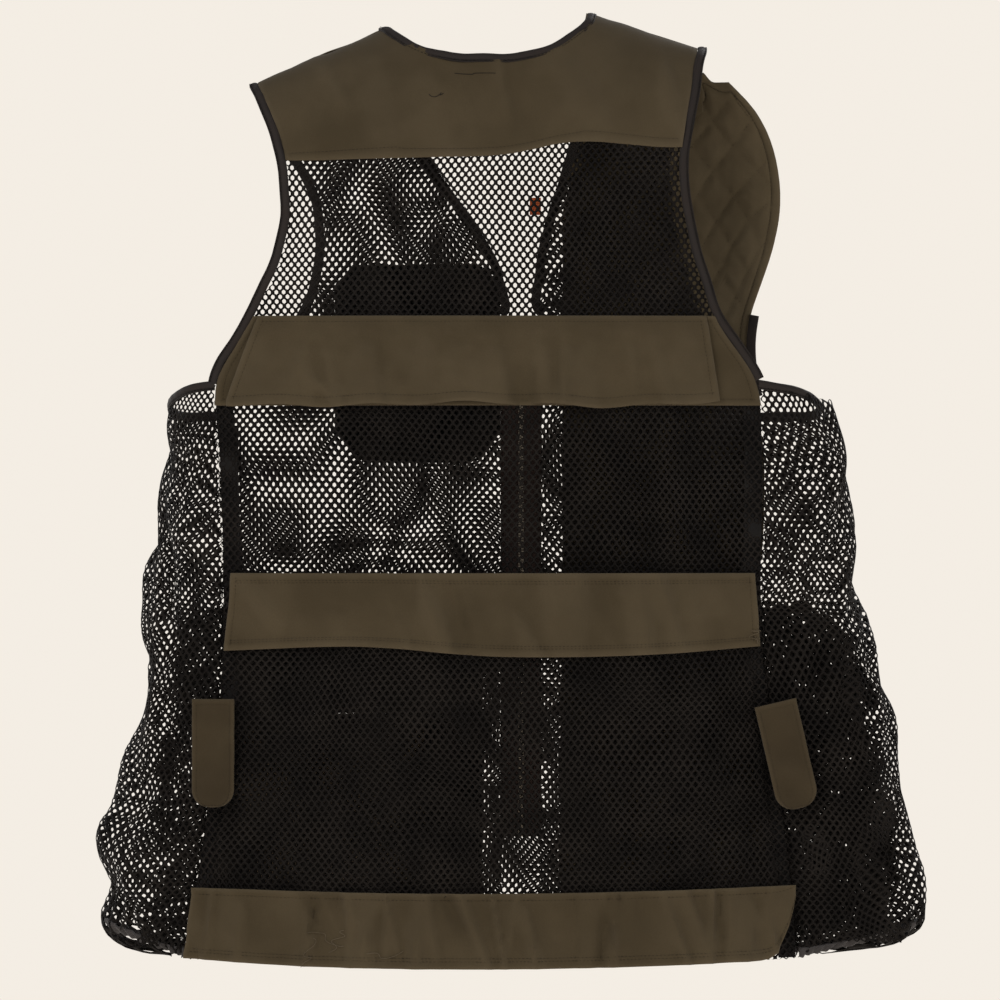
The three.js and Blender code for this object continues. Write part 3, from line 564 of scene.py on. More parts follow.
class Sheet:
    """A sheet of cloth on a surface, built as a closed mesh with a thickness.

    place(u, v) gives its points, with v running down. sewn gives the distances of stitched lines from each
    edge: left (u = 0), right, top and bottom. relief(points) raises the cloth. keep(x, z) says which cells
    are there.
    """

    def __init__(self, place, width, height, outward, thick=0.0013, lift=0.0, step=0.004,
                 sewn=None, relief=None, keep=None):
        sewn = sewn or {}
        left, right = sewn.get("left", ()), sewn.get("right", ())
        top, bottom = sewn.get("top", ()), sewn.get("bottom", ())
        self.width, self.height = width, height
        self.us = stops(width, step, [*left, *(width - d for d in right)])
        self.vs = stops(height, step, [*top, *(height - d for d in bottom)])
        u, v = np.meshgrid(self.us, self.vs)
        base = place(u, v)
        normal = normals_of(base, outward(base) if callable(outward) else np.array(outward))
        rise = np.zeros(u.shape) if relief is None else relief(base)
        edges = [(u * width, left), ((1 - u) * width, right), (v * height, top), ((1 - v) * height, bottom)]
        near = np.minimum.reduce([distance for distance, _ in edges])
        sewing = np.zeros(u.shape)
        for distance, lines in edges:
            sewing += dips(distance, lines, SEAM_DEPTH)
            if lines:
                sewing += FOLD_RISE / (1 + np.exp(np.clip((distance - max(lines)) / 0.0004, -40, 40)))
        rounded = -0.45 * thick * np.exp(-near / 0.0003)
        self.outer = base + normal * (lift + thick + rise + sewing + rounded)[..., None]
        self.inner = base + normal * (lift + rise - rounded * 0.5)[..., None]
        self.normal = normals_of(self.outer, normal)
        # Lighter near the edges for wear, and lighter on the raised folds as a painted highlight.
        self.wear_and_highlight = np.clip(0.55 * np.exp(-near / 0.0012) + 0.5 * np.clip(rise / 0.004, 0, 0.35), 0, 1)
        across = np.linalg.norm(np.diff(base, axis=1), axis=2)
        down = np.linalg.norm(np.diff(base, axis=0), axis=2)
        cells = 0.25 * (across[:-1] + across[1:]) * (down[:, :-1] + down[:, 1:])
        self.keep = None
        if keep is not None:
            middle = (base[:-1, :-1] + base[1:, 1:]) / 2
            self.keep = keep(middle[..., 0], middle[..., 2])
            cells = cells * self.keep
        self.area = float(cells.sum())
        self.flat = (float(across.sum(1).max()), float(down.sum(0).max()))
        self.flipped = faces_along(base, normal)

    def at(self, u, v):
        """Points and normals of the outer face at these places."""
        i = np.interp(u, self.us, np.arange(len(self.us)))
        j = np.interp(v, self.vs, np.arange(len(self.vs)))
        i0 = np.minimum(i.astype(int), len(self.us) - 2)
        j0 = np.minimum(j.astype(int), len(self.vs) - 2)
        fi, fj = (i - i0)[:, None], (j - j0)[:, None]
        read = []
        for grid in (self.outer, self.normal):
            above = grid[j0, i0] * (1 - fi) + grid[j0, i0 + 1] * fi
            below = grid[j0 + 1, i0] * (1 - fi) + grid[j0 + 1, i0 + 1] * fi
            read.append(above * (1 - fj) + below * fj)
        return read

    def line(self, start, end):
        """The outer face's points and normals along a straight line of (u, v)."""
        share = np.linspace(0, 1, 120)
        return self.at(start[0] + share * (end[0] - start[0]), start[1] + share * (end[1] - start[1]))

    def sewn_lines(self, sewn, inset=0.0):
        """The stitched lines, each as points and normals."""
        found = []
        du, dv = inset / self.width, inset / self.height
        for side, lines in sewn.items():
            for d in lines:
                u, v = d / self.width, d / self.height
                ends = {"left": ((u, dv), (u, 1 - dv)), "right": ((1 - u, dv), (1 - u, 1 - dv)),
                        "top": ((du, v), (1 - du, v)), "bottom": ((du, 1 - v), (1 - du, 1 - v))}[side]
                found.append(self.line(*ends))
        return found

    def build(self, name, material, body="root", replaces=()):
        turn = slice(None, None, -1 if self.flipped else 1)
        outer, inner, wear_and_highlight = self.outer[:, turn], self.inner[:, turn], self.wear_and_highlight[:, turn]
        keep = None if self.keep is None else self.keep[:, turn]
        mesh, used = thick_mesh(name, outer, inner, keep)
        set_attribute(mesh, "wear_and_highlight", np.concatenate([wear_and_highlight.ravel(), 0.4 * wear_and_highlight.ravel()])[used])
        return piece(name, mesh, material, body, replaces)

    def declare(self, made, held="hung", rests_on=(), with_pieces=()):
        max(min(self.area, self.flat[0] * self.flat[1]), 0.31 * self.flat[0] * self.flat[1])
        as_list(with_pieces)


STITCH_PITCH = 0.0031
STITCH_LENGTH = 0.0023
STITCH_RADIUS = 0.00026


def stitch_mesh(name, paths, pitch=STITCH_PITCH, length=STITCH_LENGTH):
    """Short arched threads along each path, which is (points, normals)."""
    rings, sides = 3, 4
    points, count = [], 0
    for line, normals in paths:
        run = np.concatenate([[0], np.cumsum(np.linalg.norm(np.diff(line, axis=0), axis=1))])
        middles = np.arange(pitch / 2, run[-1] - pitch / 2, pitch)
        if len(middles) == 0:
            continue
        shares = np.array([-0.5, 0.0, 0.5])
        where = middles[:, None] + shares * length
        place = np.stack([np.interp(where, run, line[:, k]) for k in range(3)], -1)
        normal = np.stack([np.interp(where, run, normals[:, k]) for k in range(3)], -1)
        along = place[:, 2] - place[:, 0]
        along /= np.maximum(np.linalg.norm(along, axis=1, keepdims=True), 1e-9)
        beside = np.cross(along[:, None], normal)
        beside /= np.maximum(np.linalg.norm(beside, axis=-1, keepdims=True), 1e-9)
        lift = np.array([-0.6, 0.75, -0.6]) * STITCH_RADIUS
        thick = np.array([0.55, 1.0, 0.55]) * STITCH_RADIUS
        for k in range(sides):
            angle = 2 * math.pi * (k + 0.5) / sides
            around = beside * math.cos(angle) + normal * math.sin(angle)
            points.append(place + normal * lift[:, None] + around * thick[:, None])
        count += len(middles)
    # Each path gave `sides` arrays; put them in the order stitch, ring, side.
    stacked = [np.stack(points[i:i + sides], 2) for i in range(0, len(points), sides)]
    flat = np.concatenate(stacked).reshape(-1, 3)
    base = np.arange(count)[:, None] * rings * sides
    quads = []
    for ring in range(rings - 1):
        for k in range(sides):
            after = (k + 1) % sides
            near, far = ring * sides, (ring + 1) * sides
            quads.append(base + np.array([near + k, far + k, far + after, near + after]))
    quads.append(base + np.array([0, 1, 2, 3]))
    quads.append(base + (rings - 1) * sides + np.array([3, 2, 1, 0]))
    mesh, used = mesh_of(name, flat, np.concatenate(quads), sharp=180)
    set_attribute(mesh, "wear_and_highlight", np.zeros(len(used)))
    return mesh


def stitches(name, paths, material):
    return piece(name, stitch_mesh(name, paths), material, "root")


# ---- Netting ----

NET_ACROSS = 0.0059  # between holes in a row
NET_DOWN = 0.0078  # between rows that line up
HOLE_WIDE, HOLE_SHOULDER, HOLE_TALL = 0.00142, 0.00088, 0.00202  # a hole's half sizes
YARN = 0.00085  # thickness of a strand
NET_MARGIN = 0.0015  # how far the strands may pass the edges of the net


def net_mesh(name, place, inside, low, high, flow=None, turn=0.0, opening=1.0):
    """Netting of six-sided holes whose strands have a rounded section.

    place(a, b, height) gives points from flat coordinates, inside(a, b) says which cells are kept, and
    flow(a, b) slides the lattice in its own plane, so that it lies rumpled. opening scales the holes.
    """
    reach = 0.02
    columns = int((high[0] - low[0] + 2 * reach) / NET_ACROSS) + 2
    rows = int((high[1] - low[1] + 2 * reach) / (NET_DOWN / 2)) + 2
    j, i = np.meshgrid(np.arange(rows), np.arange(columns), indexing="ij")
    cos, sin = math.cos(turn), math.sin(turn)
    middle_a, middle_b = (low[0] + high[0]) / 2, (low[1] + high[1]) / 2
    flat_a = low[0] - reach + (i + 0.5 * (j % 2)) * NET_ACROSS - middle_a
    flat_b = low[1] - reach + j * NET_DOWN / 2 - middle_b

    def moved(da, db):
        a = middle_a + (flat_a + da) * cos - (flat_b + db) * sin
        b = middle_b + (flat_a + da) * sin + (flat_b + db) * cos
        if flow is not None:
            a, b = flow(a, b)
        return a.ravel(), b.ravel()

    tall = 0.415 * NET_DOWN
    short = NET_DOWN / 2 - tall
    half = NET_ACROSS / 2
    corners = [(0, tall), (half, short), (half, -short), (0, -tall), (-half, -short), (-half, short)]
    odd = j % 2
    # Each corner is the top or bottom corner of the cell that owns it.
    owners = [(0, j, i), (1, j + 1, i + odd), (0, j - 1, i + odd), (1, j, i),
              (0, j - 1, i + odd - 1), (1, j + 1, i + odd - 1)]
    keep = inside(*moved(0, 0)).reshape(rows, columns)
    keep[:1] = keep[-1:] = False
    keep[:, :1] = keep[:, -1:] = False
    count = rows * columns
    ends = [moved(0, tall), moved(0, -tall)]
    ring_a = np.concatenate([a for a, _ in ends])
    ring_b = np.concatenate([b for _, b in ends])
    holes = []
    for da, db in corners:
        wide = opening * HOLE_WIDE * np.sign(da)
        tall_here = opening * (HOLE_TALL if da == 0 else HOLE_SHOULDER)
        holes.append(moved(wide, tall_here * np.sign(db)))
    hole_a = np.concatenate([a for a, _ in holes])
    hole_b = np.concatenate([b for _, b in holes])
    top = place(ring_a, ring_b, YARN / 2)
    bottom = place(ring_a, ring_b, -YARN / 2)
    points = np.concatenate([top, bottom, place(hole_a, hole_b, 0.0)])
    cells = np.nonzero(keep.ravel())[0]
    around = [(j + 1, i + odd), (j, i + 1), (j - 1, i + odd), (j - 1, i + odd - 1), (j, i - 1),
              (j + 1, i + odd - 1)]
    quads = []
    for k in range(6):
        after = (k + 1) % 6
        next_j, next_i = np.clip(around[k][0], 0, rows - 1), np.clip(around[k][1], 0, columns - 1)
        beyond = keep[next_j, next_i].ravel()[cells]
        ring = []
        for which, owner_j, owner_i in (owners[k], owners[after]):
            owner = np.clip(owner_j, 0, rows - 1) * columns + np.clip(owner_i, 0, columns - 1)
            ring.append(which * count + owner.ravel()[cells])
        inner = [4 * count + k * count + cells, 4 * count + after * count + cells]
        quads.append(np.stack([ring[0], ring[1], inner[1], inner[0]], -1))
        quads.append(np.stack([ring[1] + 2 * count, ring[0] + 2 * count, inner[0], inner[1]], -1))
        wall = np.stack([ring[1], ring[0], ring[0] + 2 * count, ring[1] + 2 * count], -1)
        quads.append(wall[~beyond])
    quads = np.concatenate(quads)
    first = quads[0]
    face = np.cross(points[first[1]] - points[first[0]], points[first[2]] - points[first[0]])
    if face @ (points[first[0]] - points[first[0] + 2 * count]) < 0:
        quads = quads[:, ::-1]
    return mesh_of(name, points, quads, sharp=180)[0]


def net(name, surface, low, high, top, bottom, outward, node, span, lift=0.0, relief=None, flow=None,
        turn=0.0, opening=1.0):
    """Netting on surface(a, b), between low(b) and high(b) across and top(a) and bottom(a) down.

    span is the lattice's extent: (lowest a, highest a, lowest b, highest b).
    """

    def place(a, b, height):
        a = np.clip(a, low(b) - NET_MARGIN, high(b) + NET_MARGIN)
        b = np.clip(b, bottom(a) - NET_MARGIN, top(a) + NET_MARGIN)
        step = 0.002
        point = surface(a, b)
        across = surface(a + step, b) - surface(a - step, b)
        down = surface(a, b + step) - surface(a, b - step)
        normal = np.cross(across, down)
        normal /= np.maximum(np.linalg.norm(normal, axis=-1, keepdims=True), 1e-12)
        direction = outward(point) if callable(outward) else np.array(outward)
        normal *= np.where((normal * direction).sum(-1, keepdims=True) < 0, -1, 1)
        rise = lift + height + (0 if relief is None else relief(a, b))
        return point + normal * np.broadcast_to(rise, a.shape)[..., None]

    def inside(a, b):
        reach = 0.0012
        within = (a > low(b) - reach) & (a < high(b) + reach)
        return within & (b < top(a) + reach) & (b > bottom(a) - reach)

    mesh = net_mesh(name, place, inside, (span[0], span[2]), (span[1], span[3]), flow, turn, opening)
    return piece(name, mesh, yarn, "root", [node] if node else ())


def mesh_area(mesh):
    areas = np.zeros(len(mesh.polygons))
    mesh.polygons.foreach_get("area", areas)
    return float(areas.sum())


def declare_net(made, flat, with_pieces=()):
    """A net's cloth is its strands, so its area is less than its width times its length."""
    width, height = float(flat[0]), float(flat[1])
    share = min(max(mesh_area(made.data) / 2 / (width * height), 0.31), 1.0)
    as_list(with_pieces)


def drift(size, reach, seed):
    """A flow that slides a net's lattice by up to about reach, over waves of this size."""
    def flow(a, b):
        return a + reach * ripple(a, b, size, seed), b + reach * ripple(a, b, size * 0.8, seed + 1)
    return flow


# ---- Edge bindings ----

# Section of a folded tape: distance in from the edge, and height over the cloth's inner face.
BINDING_SECTION = np.array([
    (-0.7, 0.3), (-0.5, 1.3), (0.4, 2.0), (2.0, 2.4), (3.9, 2.35), (5.0, 2.05), (5.5, 1.9), (6.2, 2.1),
    (6.8, 1.6), (6.8, -0.5), (6.2, -1.0), (3.8, -1.3), (1.2, -1.2), (-0.3, -0.7),
]) / 1000
BINDING_SEAM = 0.0055


def sweep(name, points, normals, section, inward, relief=None):
    """A closed bar with this section along a path. The section runs clockwise, across and then up."""
    along = np.gradient(points, axis=0)
    along /= np.linalg.norm(along, axis=1, keepdims=True)
    side = np.cross(normals, along) * inward
    side /= np.linalg.norm(side, axis=1, keepdims=True)
    up = np.cross(along, side) * inward
    rows, n = len(points), len(section)
    across = np.broadcast_to(section[:, 0], (rows, n))
    rise = np.broadcast_to(section[:, 1], (rows, n))
    if relief is not None:
        across, rise = relief(across, rise)
    ring = points[:, None] + side[:, None] * across[..., None] + up[:, None] * rise[..., None]
    index = np.arange(rows * n).reshape(rows, n)
    after = np.roll(index, -1, axis=1)
    quads = np.stack([index[:-1], after[:-1], after[1:], index[1:]], -1).reshape(-1, 4)
    faces = quads.tolist() + [index[0][::-1].tolist(), index[-1].tolist()]
    if inward > 0:
        faces = [face[::-1] for face in faces]
    mesh, _ = mesh_of(name, ring.reshape(-1, 3), faces, sharp=50)
    return mesh, side, up


PATH_STEP = 0.002


def even_path(points, normals):
    """The path again with even steps, smoothed."""
    run = np.concatenate([[0], np.cumsum(np.linalg.norm(np.diff(points, axis=0), axis=1))])
    places = np.linspace(0, run[-1], max(int(run[-1] / PATH_STEP), 4))
    point = np.stack([np.interp(places, run, points[:, k]) for k in range(3)], -1)
    normal = np.stack([np.interp(places, run, normals[:, k]) for k in range(3)], -1)
    for _ in range(8):
        point[1:-1] = (point[:-2] + 2 * point[1:-1] + point[2:]) / 4
        normal[1:-1] = (normal[:-2] + 2 * normal[1:-1] + normal[2:]) / 4
    normal /= np.linalg.norm(normal, axis=1, keepdims=True)
    return point, normal


def shell_path(shell, outward, x, z):
    """Points and outward normals of a shell along a path."""
    step = 0.0015
    point = shell(x, z)
    across = shell(x + step, z) - shell(x - step, z)
    down = shell(x, z + step) - shell(x, z - step)
    normal = np.cross(across, down)
    normal /= np.maximum(np.linalg.norm(normal, axis=-1, keepdims=True), 1e-12)
    normal *= np.where(normal[:, 1:2] * outward < 0, -1, 1)
    return point, normal


def binding(name, points, normals, inward, nodes, seed):
    """A folded tape round an edge, with its stitching. inward is the side of the path that has the cloth."""
    points, normals = even_path(points, normals)
    length = float(np.linalg.norm(np.diff(points, axis=0), axis=1).sum())
    run = np.linspace(0, length, len(points))[:, None]

    def relief(across, rise):
        pucker = ripple(run, across * 0.8, 0.011, seed) * 0.00022
        pucker = pucker + ripple(run, across, 0.05, seed + 1) * 0.0003
        seam = -0.0005 * np.exp(-(((across - BINDING_SEAM) / 0.0006) ** 2)) * (rise > 0)
        outer = np.clip(rise / 0.0024, -0.5, 1)
        wander = ripple(run, 0 * run, 0.045, seed + 2) * 0.0005
        return across + wander, rise + pucker * outer + seam

    mesh, side, up = sweep(name, points, normals, BINDING_SECTION, inward, relief)
    # A painted highlight along the rounded ridge of the folded tape.
    painted_ridge_highlight = np.exp(-(((BINDING_SECTION[:, 0] - 0.0028) / 0.0018) ** 2)) * (BINDING_SECTION[:, 1] > 0.001)
    set_attribute(mesh, "wear_and_highlight", np.tile(0.55 * painted_ridge_highlight, len(points)))
    made = piece(name, mesh, edging, "root", nodes)
    line = points + side * BINDING_SEAM + up * 0.0021
    thread = stitches(f"{name}_stitching", [(line, normals)], dark_thread)
    return [made, thread]


# ---- Outlines of the vest ----

BACK_NODES = ["back_yoke", "back_upper_net", "vent_under_band", "back_middle_net", "pouch_lining_net"]
FRONT_LEFT_NODES = ["front_shoulder_left", "front_net_left", "armhole_binding_front_left",
                    "front_seam_tape_left"]
TIP_LEFT, TIP_RIGHT = -0.0525, -0.0262  # levels where the armholes meet the shoulder ridge
back_left = outline(BACK_NODES + ["armhole_binding_back_left", "back_seam_tape_left"], 1, TIP_LEFT)
back_right = outline(BACK_NODES + ["armhole_binding_back_right", "back_seam_tape_right"], -1, TIP_RIGHT)
front_left = outline(FRONT_LEFT_NODES, 1, TIP_LEFT)
front_right = outline(["gun_pad", "front_seam_tape_right"], -1, -0.050)
neck_left = outline(["neck_binding_front_left"], -1)
neck_right = outline(["neck_binding_front_right"], 1)

OUT_BACK = (0, 1, 0.35)
OUT_FRONT = (0, -1, 0.35)
NECK_SIDE_LEFT, NECK_SIDE_RIGHT = 0.086, -0.078
NECK_DIP = 0.030
SEAM_GAP = 0.0015
LAYER = 0.002


def neckline(x):
    middle, half = (NECK_SIDE_LEFT + NECK_SIDE_RIGHT) / 2, (NECK_SIDE_LEFT - NECK_SIDE_RIGHT) / 2
    return -NECK_DIP * (1 - np.abs((x - middle) / half) ** 3)


def low_of(node):
    return float(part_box(node)[0].z)


def high_of(node):
    return float(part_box(node)[1].z)


def between(low, high, share):
    return low + (high - low) * share


def band(name, shell, low, high, top, bottom, outward, node, material=None, body="root",
         sewn=None, relief=None, lift=0.0, step=0.004, keep=None):
    """A cloth band between two side outlines and two edges that are given against x, with its stitching."""
    zs = (float(np.min(bottom(0.0))), float(np.max(top(0.0))))
    middle = (zs[0] + zs[1]) / 2
    width = float(high(middle) - low(middle))
    height = zs[1] - zs[0]

    def place(u, v):
        nominal = between(low(middle), high(middle), u)
        z = between(top(nominal), bottom(nominal), v)
        return shell(between(low(z), high(z), u), z)

    cloth = Sheet(place, width, height, outward, lift=lift, step=step, sewn=sewn, relief=relief, keep=keep)
    made = cloth.build(name, material or olive, body, [node])
    extra = []
    if sewn:
        extra.append(seam_stitches(name, cloth.sewn_lines(sewn, 0.003), body))
    return cloth, made, extra


def loose_thread(name, cloth, start, reach, seed, material, lift=0.0009):
    """A frayed thread that curls on a cloth's face from a place (u, v)."""
    rng = np.random.default_rng(seed)
    share = np.linspace(0, 1, 60)
    bends = [rng.uniform(0.2, 1.0) * np.sin(2 * math.pi * share * rng.uniform(0.5, 2.2) + rng.uniform(0, 6))
             for _ in range(4)]
    along = reach[0] * share + 0.004 * (bends[0] - bends[0][0])
    down = reach[1] * share + 0.004 * (bends[1] - bends[1][0])
    points, normals = cloth.at(start[0] + along / cloth.width, start[1] + down / cloth.height)
    points = points + normals * (lift * (1 + 0.8 * bends[2]))[:, None]
    angles = -np.arange(6) * math.pi / 3
    section = 0.00024 * np.stack([np.cos(angles), np.sin(angles)], -1)
    mesh = sweep(name, points, normals, section, 1)[0]
    set_attribute(mesh, "wear_and_highlight", np.zeros(len(mesh.vertices)))
    return piece(name, mesh, material, "root")


def seam_stitches(name, lines, body="root", pitch=0.0031):
    """The stitching of a cloth's seams, in the cloth's own olive thread."""
    mesh = stitch_mesh(f"{name}_stitching", lines, pitch=pitch, length=0.72 * pitch)
    return piece(f"{name}_stitching", mesh, olive_thread, body)


def flat_level(z):
    return lambda x: np.full(np.shape(x), z) if np.ndim(x) else z


# ---- Back cloth ----

def make_yoke():
    hem = level_curve("back_yoke", -1, -0.148, 0.158)
    ends = (float(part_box("back_yoke")[0].x), float(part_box("back_yoke")[1].x))
    stops_u = [0, 0.25, 0.75, 1]
    stops_x = [ends[0], NECK_SIDE_RIGHT, NECK_SIDE_LEFT, ends[1]]

    def place(u, v):
        x = np.interp(u, stops_u, stops_x)
        in_neck = (x > NECK_SIDE_RIGHT) & (x < NECK_SIDE_LEFT)
        share = (x - ends[0]) / (ends[1] - ends[0])
        for _ in range(6):
            top = np.where(in_neck, np.minimum(ridge(x), neckline(x) - SEAM_GAP), ridge(x))
            z = between(top, hem(x), v**2)
            x = between(back_right(z), back_left(z), share)
        point = on_back(x, np.minimum(z, ridge(x)))
        point[..., 1] -= np.where(in_neck, 0, 0.0016 * np.exp(-v / 0.004))
        return point

    def relief(p):
        x, z = p[..., 0], p[..., 2]
        soft = 0.0009 * ripple(x, z, 0.09, 11) + 0.0003 * ripple(x, z, 0.03, 12)
        pulls = creases(x, z, (-0.15, -0.10), (0.17, -0.04), 10, 0.3, 0.011, 0.0022, 13)
        return soft + pulls * np.clip((-0.01 - z) / 0.03, 0, 1)

    sewn = {"bottom": [0.0052]}
    cloth = Sheet(place, ends[1] - ends[0], 0.13, OUT_BACK, sewn=sewn, relief=relief)
    made = cloth.build("back_yoke_cloth", olive, "root", ["back_yoke"])
    thread = seam_stitches("back_yoke", cloth.sewn_lines(sewn, 0.004))
    return cloth, made, [thread]


def span_of(low, high, z0, z1):
    zs = np.linspace(z0, z1, 50)
    return float(low(zs).min()), float(high(zs).max()), z0, z1


def make_back():
    trim = bindings()
    yoke, made, threads = make_yoke()
    for n, (start, reach) in enumerate([((0.47, 0.42), (0.035, 0.001)), ((0.60, 0.62), (0.012, 0.004))]):
        name = f"yoke_loose_thread_{n + 1}"
        threads.append(loose_thread(name, yoke, start, reach, 15 + n, dark_thread, 0.0002))
    yoke.declare(made, "hung", ["shoulders"], threads + trim["neck"])

    hem = level_curve("back_yoke", -1, -0.148, 0.158)
    vent_top = high_of("vent_under_band")
    low, high = lambda z: back_right(z) + 0.0005, lambda z: back_left(z) - 0.0005
    upper = net("upper_back_netting", on_back, low, high, lambda x: hem(x) + 0.0025,
                flat_level(vent_top - 0.004), OUT_BACK, "back_upper_net",
                span_of(low, high, vent_top - 0.004, -0.09), lift=-0.0014,
                relief=lambda a, b: 0.0006 * ripple(a, b, 0.05, 21), flow=drift(0.16, 0.0016, 22))
    declare_net(upper, (0.35, 0.14), trim["armhole"])

    under_low = low_of("vent_under_band")

    def under_relief(p):
        return 0.0007 * ripple(p[..., 0], p[..., 2], 0.06, 31)

    sewn = {"top": [0.004], "bottom": [0.005], "left": [0.006], "right": [0.006]}
    cloth, made_under, threads = band("vent_under_band_cloth", on_back, low, high, flat_level(vent_top),
                                      flat_level(under_low), OUT_BACK, "vent_under_band", sewn=sewn,
                                      relief=under_relief)
    cloth.declare(made_under, "hung", [upper], threads)

    waist_top = high_of("pouch_lining_net")
    middle = net("middle_back_netting", on_back, low, high, flat_level(under_low + 0.004),
                 flat_level(waist_top - 0.004), OUT_BACK, "back_middle_net",
                 span_of(low, high, waist_top - 0.004, under_low + 0.004), lift=-0.0014,
                 relief=lambda a, b: 0.0009 * ripple(a, b, 0.055, 41), flow=drift(0.17, 0.0020, 42))
    declare_net(middle, (0.39, 0.14))

    foot = low_of("pouch_lining_net")
    lining_net = net("pouch_lining_netting", on_back, low, high, flat_level(waist_top), flat_level(foot),
                     OUT_BACK, "pouch_lining_net", span_of(low, high, foot, waist_top),
                     relief=lambda a, b: -0.0012 + 0.0011 * ripple(a, b, 0.06, 51),
                     flow=drift(0.15, 0.0024, 52), turn=0.02)
    declare_net(lining_net, (0.46, 0.306))
    make_vent_flap()
    make_pouch(lining_net)


def curve_through(pairs):
    """A smooth curve through (at, value) pairs in rising order."""
    places, values = np.array(pairs, float).T
    slopes = np.gradient(values)
    for i in range(len(pairs)):
        i0, i1 = max(i - 1, 0), min(i + 1, len(pairs) - 1)
        slopes[i] = (values[i1] - values[i0]) / (places[i1] - places[i0])

    def curve(at):
        at = np.asarray(at, float)
        i = np.clip(np.searchsorted(places, at) - 1, 0, len(pairs) - 2)
        span = places[i + 1] - places[i]
        t = np.clip((at - places[i]) / span, 0, 1)
        rise = t * t * (3 - 2 * t)
        turn_out = t * (1 - t) ** 2 * slopes[i] * span
        turn_in = t * t * (t - 1) * slopes[i + 1] * span
        return values[i] + (values[i + 1] - values[i]) * rise + turn_out + turn_in
    return curve


FLAP_LIFT = 0.0046
POUCH_LIFT = 0.0018
POUCH_FULLNESS = 0.016
POUCH_HALF = 0.206
HEM_SHARE = 0.19
pouch_share = curve_through([(0.442, 0.85), (0.560, 1), (0.640, 0.8), (0.692, HEM_SHARE)])


def on_pouch(x, z):
    point = on_back(x, z)
    across = 1 - np.abs(np.clip(x / POUCH_HALF, -1, 1)) ** 3
    point[..., 1] += POUCH_LIFT + POUCH_FULLNESS * across * pouch_share(-z)
    return point


def make_vent_flap():
    low, high = outline(["vent_flap"], -1, bottom=-0.304), outline(["vent_flap"], 1, bottom=-0.304)
    top_z = high_of("vent_flap")
    hem = level_curve("vent_flap", -1)

    def relief(p):
        x, z = p[..., 0], p[..., 2]
        down = np.clip((top_z - z) / 0.07, 0, 1)
        wave = 0.0022 * np.sin(2 * math.pi * x / 0.085 + 0.8) + 0.0018 * ripple(x, 0 * z, 0.06, 61)
        folds = creases(x, z, (-0.17, -0.31), (0.19, -0.25), 18, 0.15, 0.0075, 0.0048, 62)
        held = -0.0034 * np.exp(-((top_z - z) / 0.006))
        return held + down**1.3 * (wave + 0.0012) + folds * down + 0.0004 * ripple(x, z, 0.02, 63)

    def bottom(x):
        return hem(x) + 0.0006 + 0.0012 * np.sin(2 * math.pi * np.asarray(x) / 0.07)

    sewn = {"top": [0.0045], "bottom": [0.0075], "left": [0.0055], "right": [0.0055]}
    cloth, made, threads = band("vent_flap_cloth", on_back, low, high, flat_level(top_z), bottom, OUT_BACK,
                                "vent_flap", body=None, sewn=sewn, relief=relief, lift=FLAP_LIFT, step=0.0035)
    for part in [made, *threads]:
        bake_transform(part)
    cloth.declare(made, "hung", ["vent_under_band_cloth"], threads)


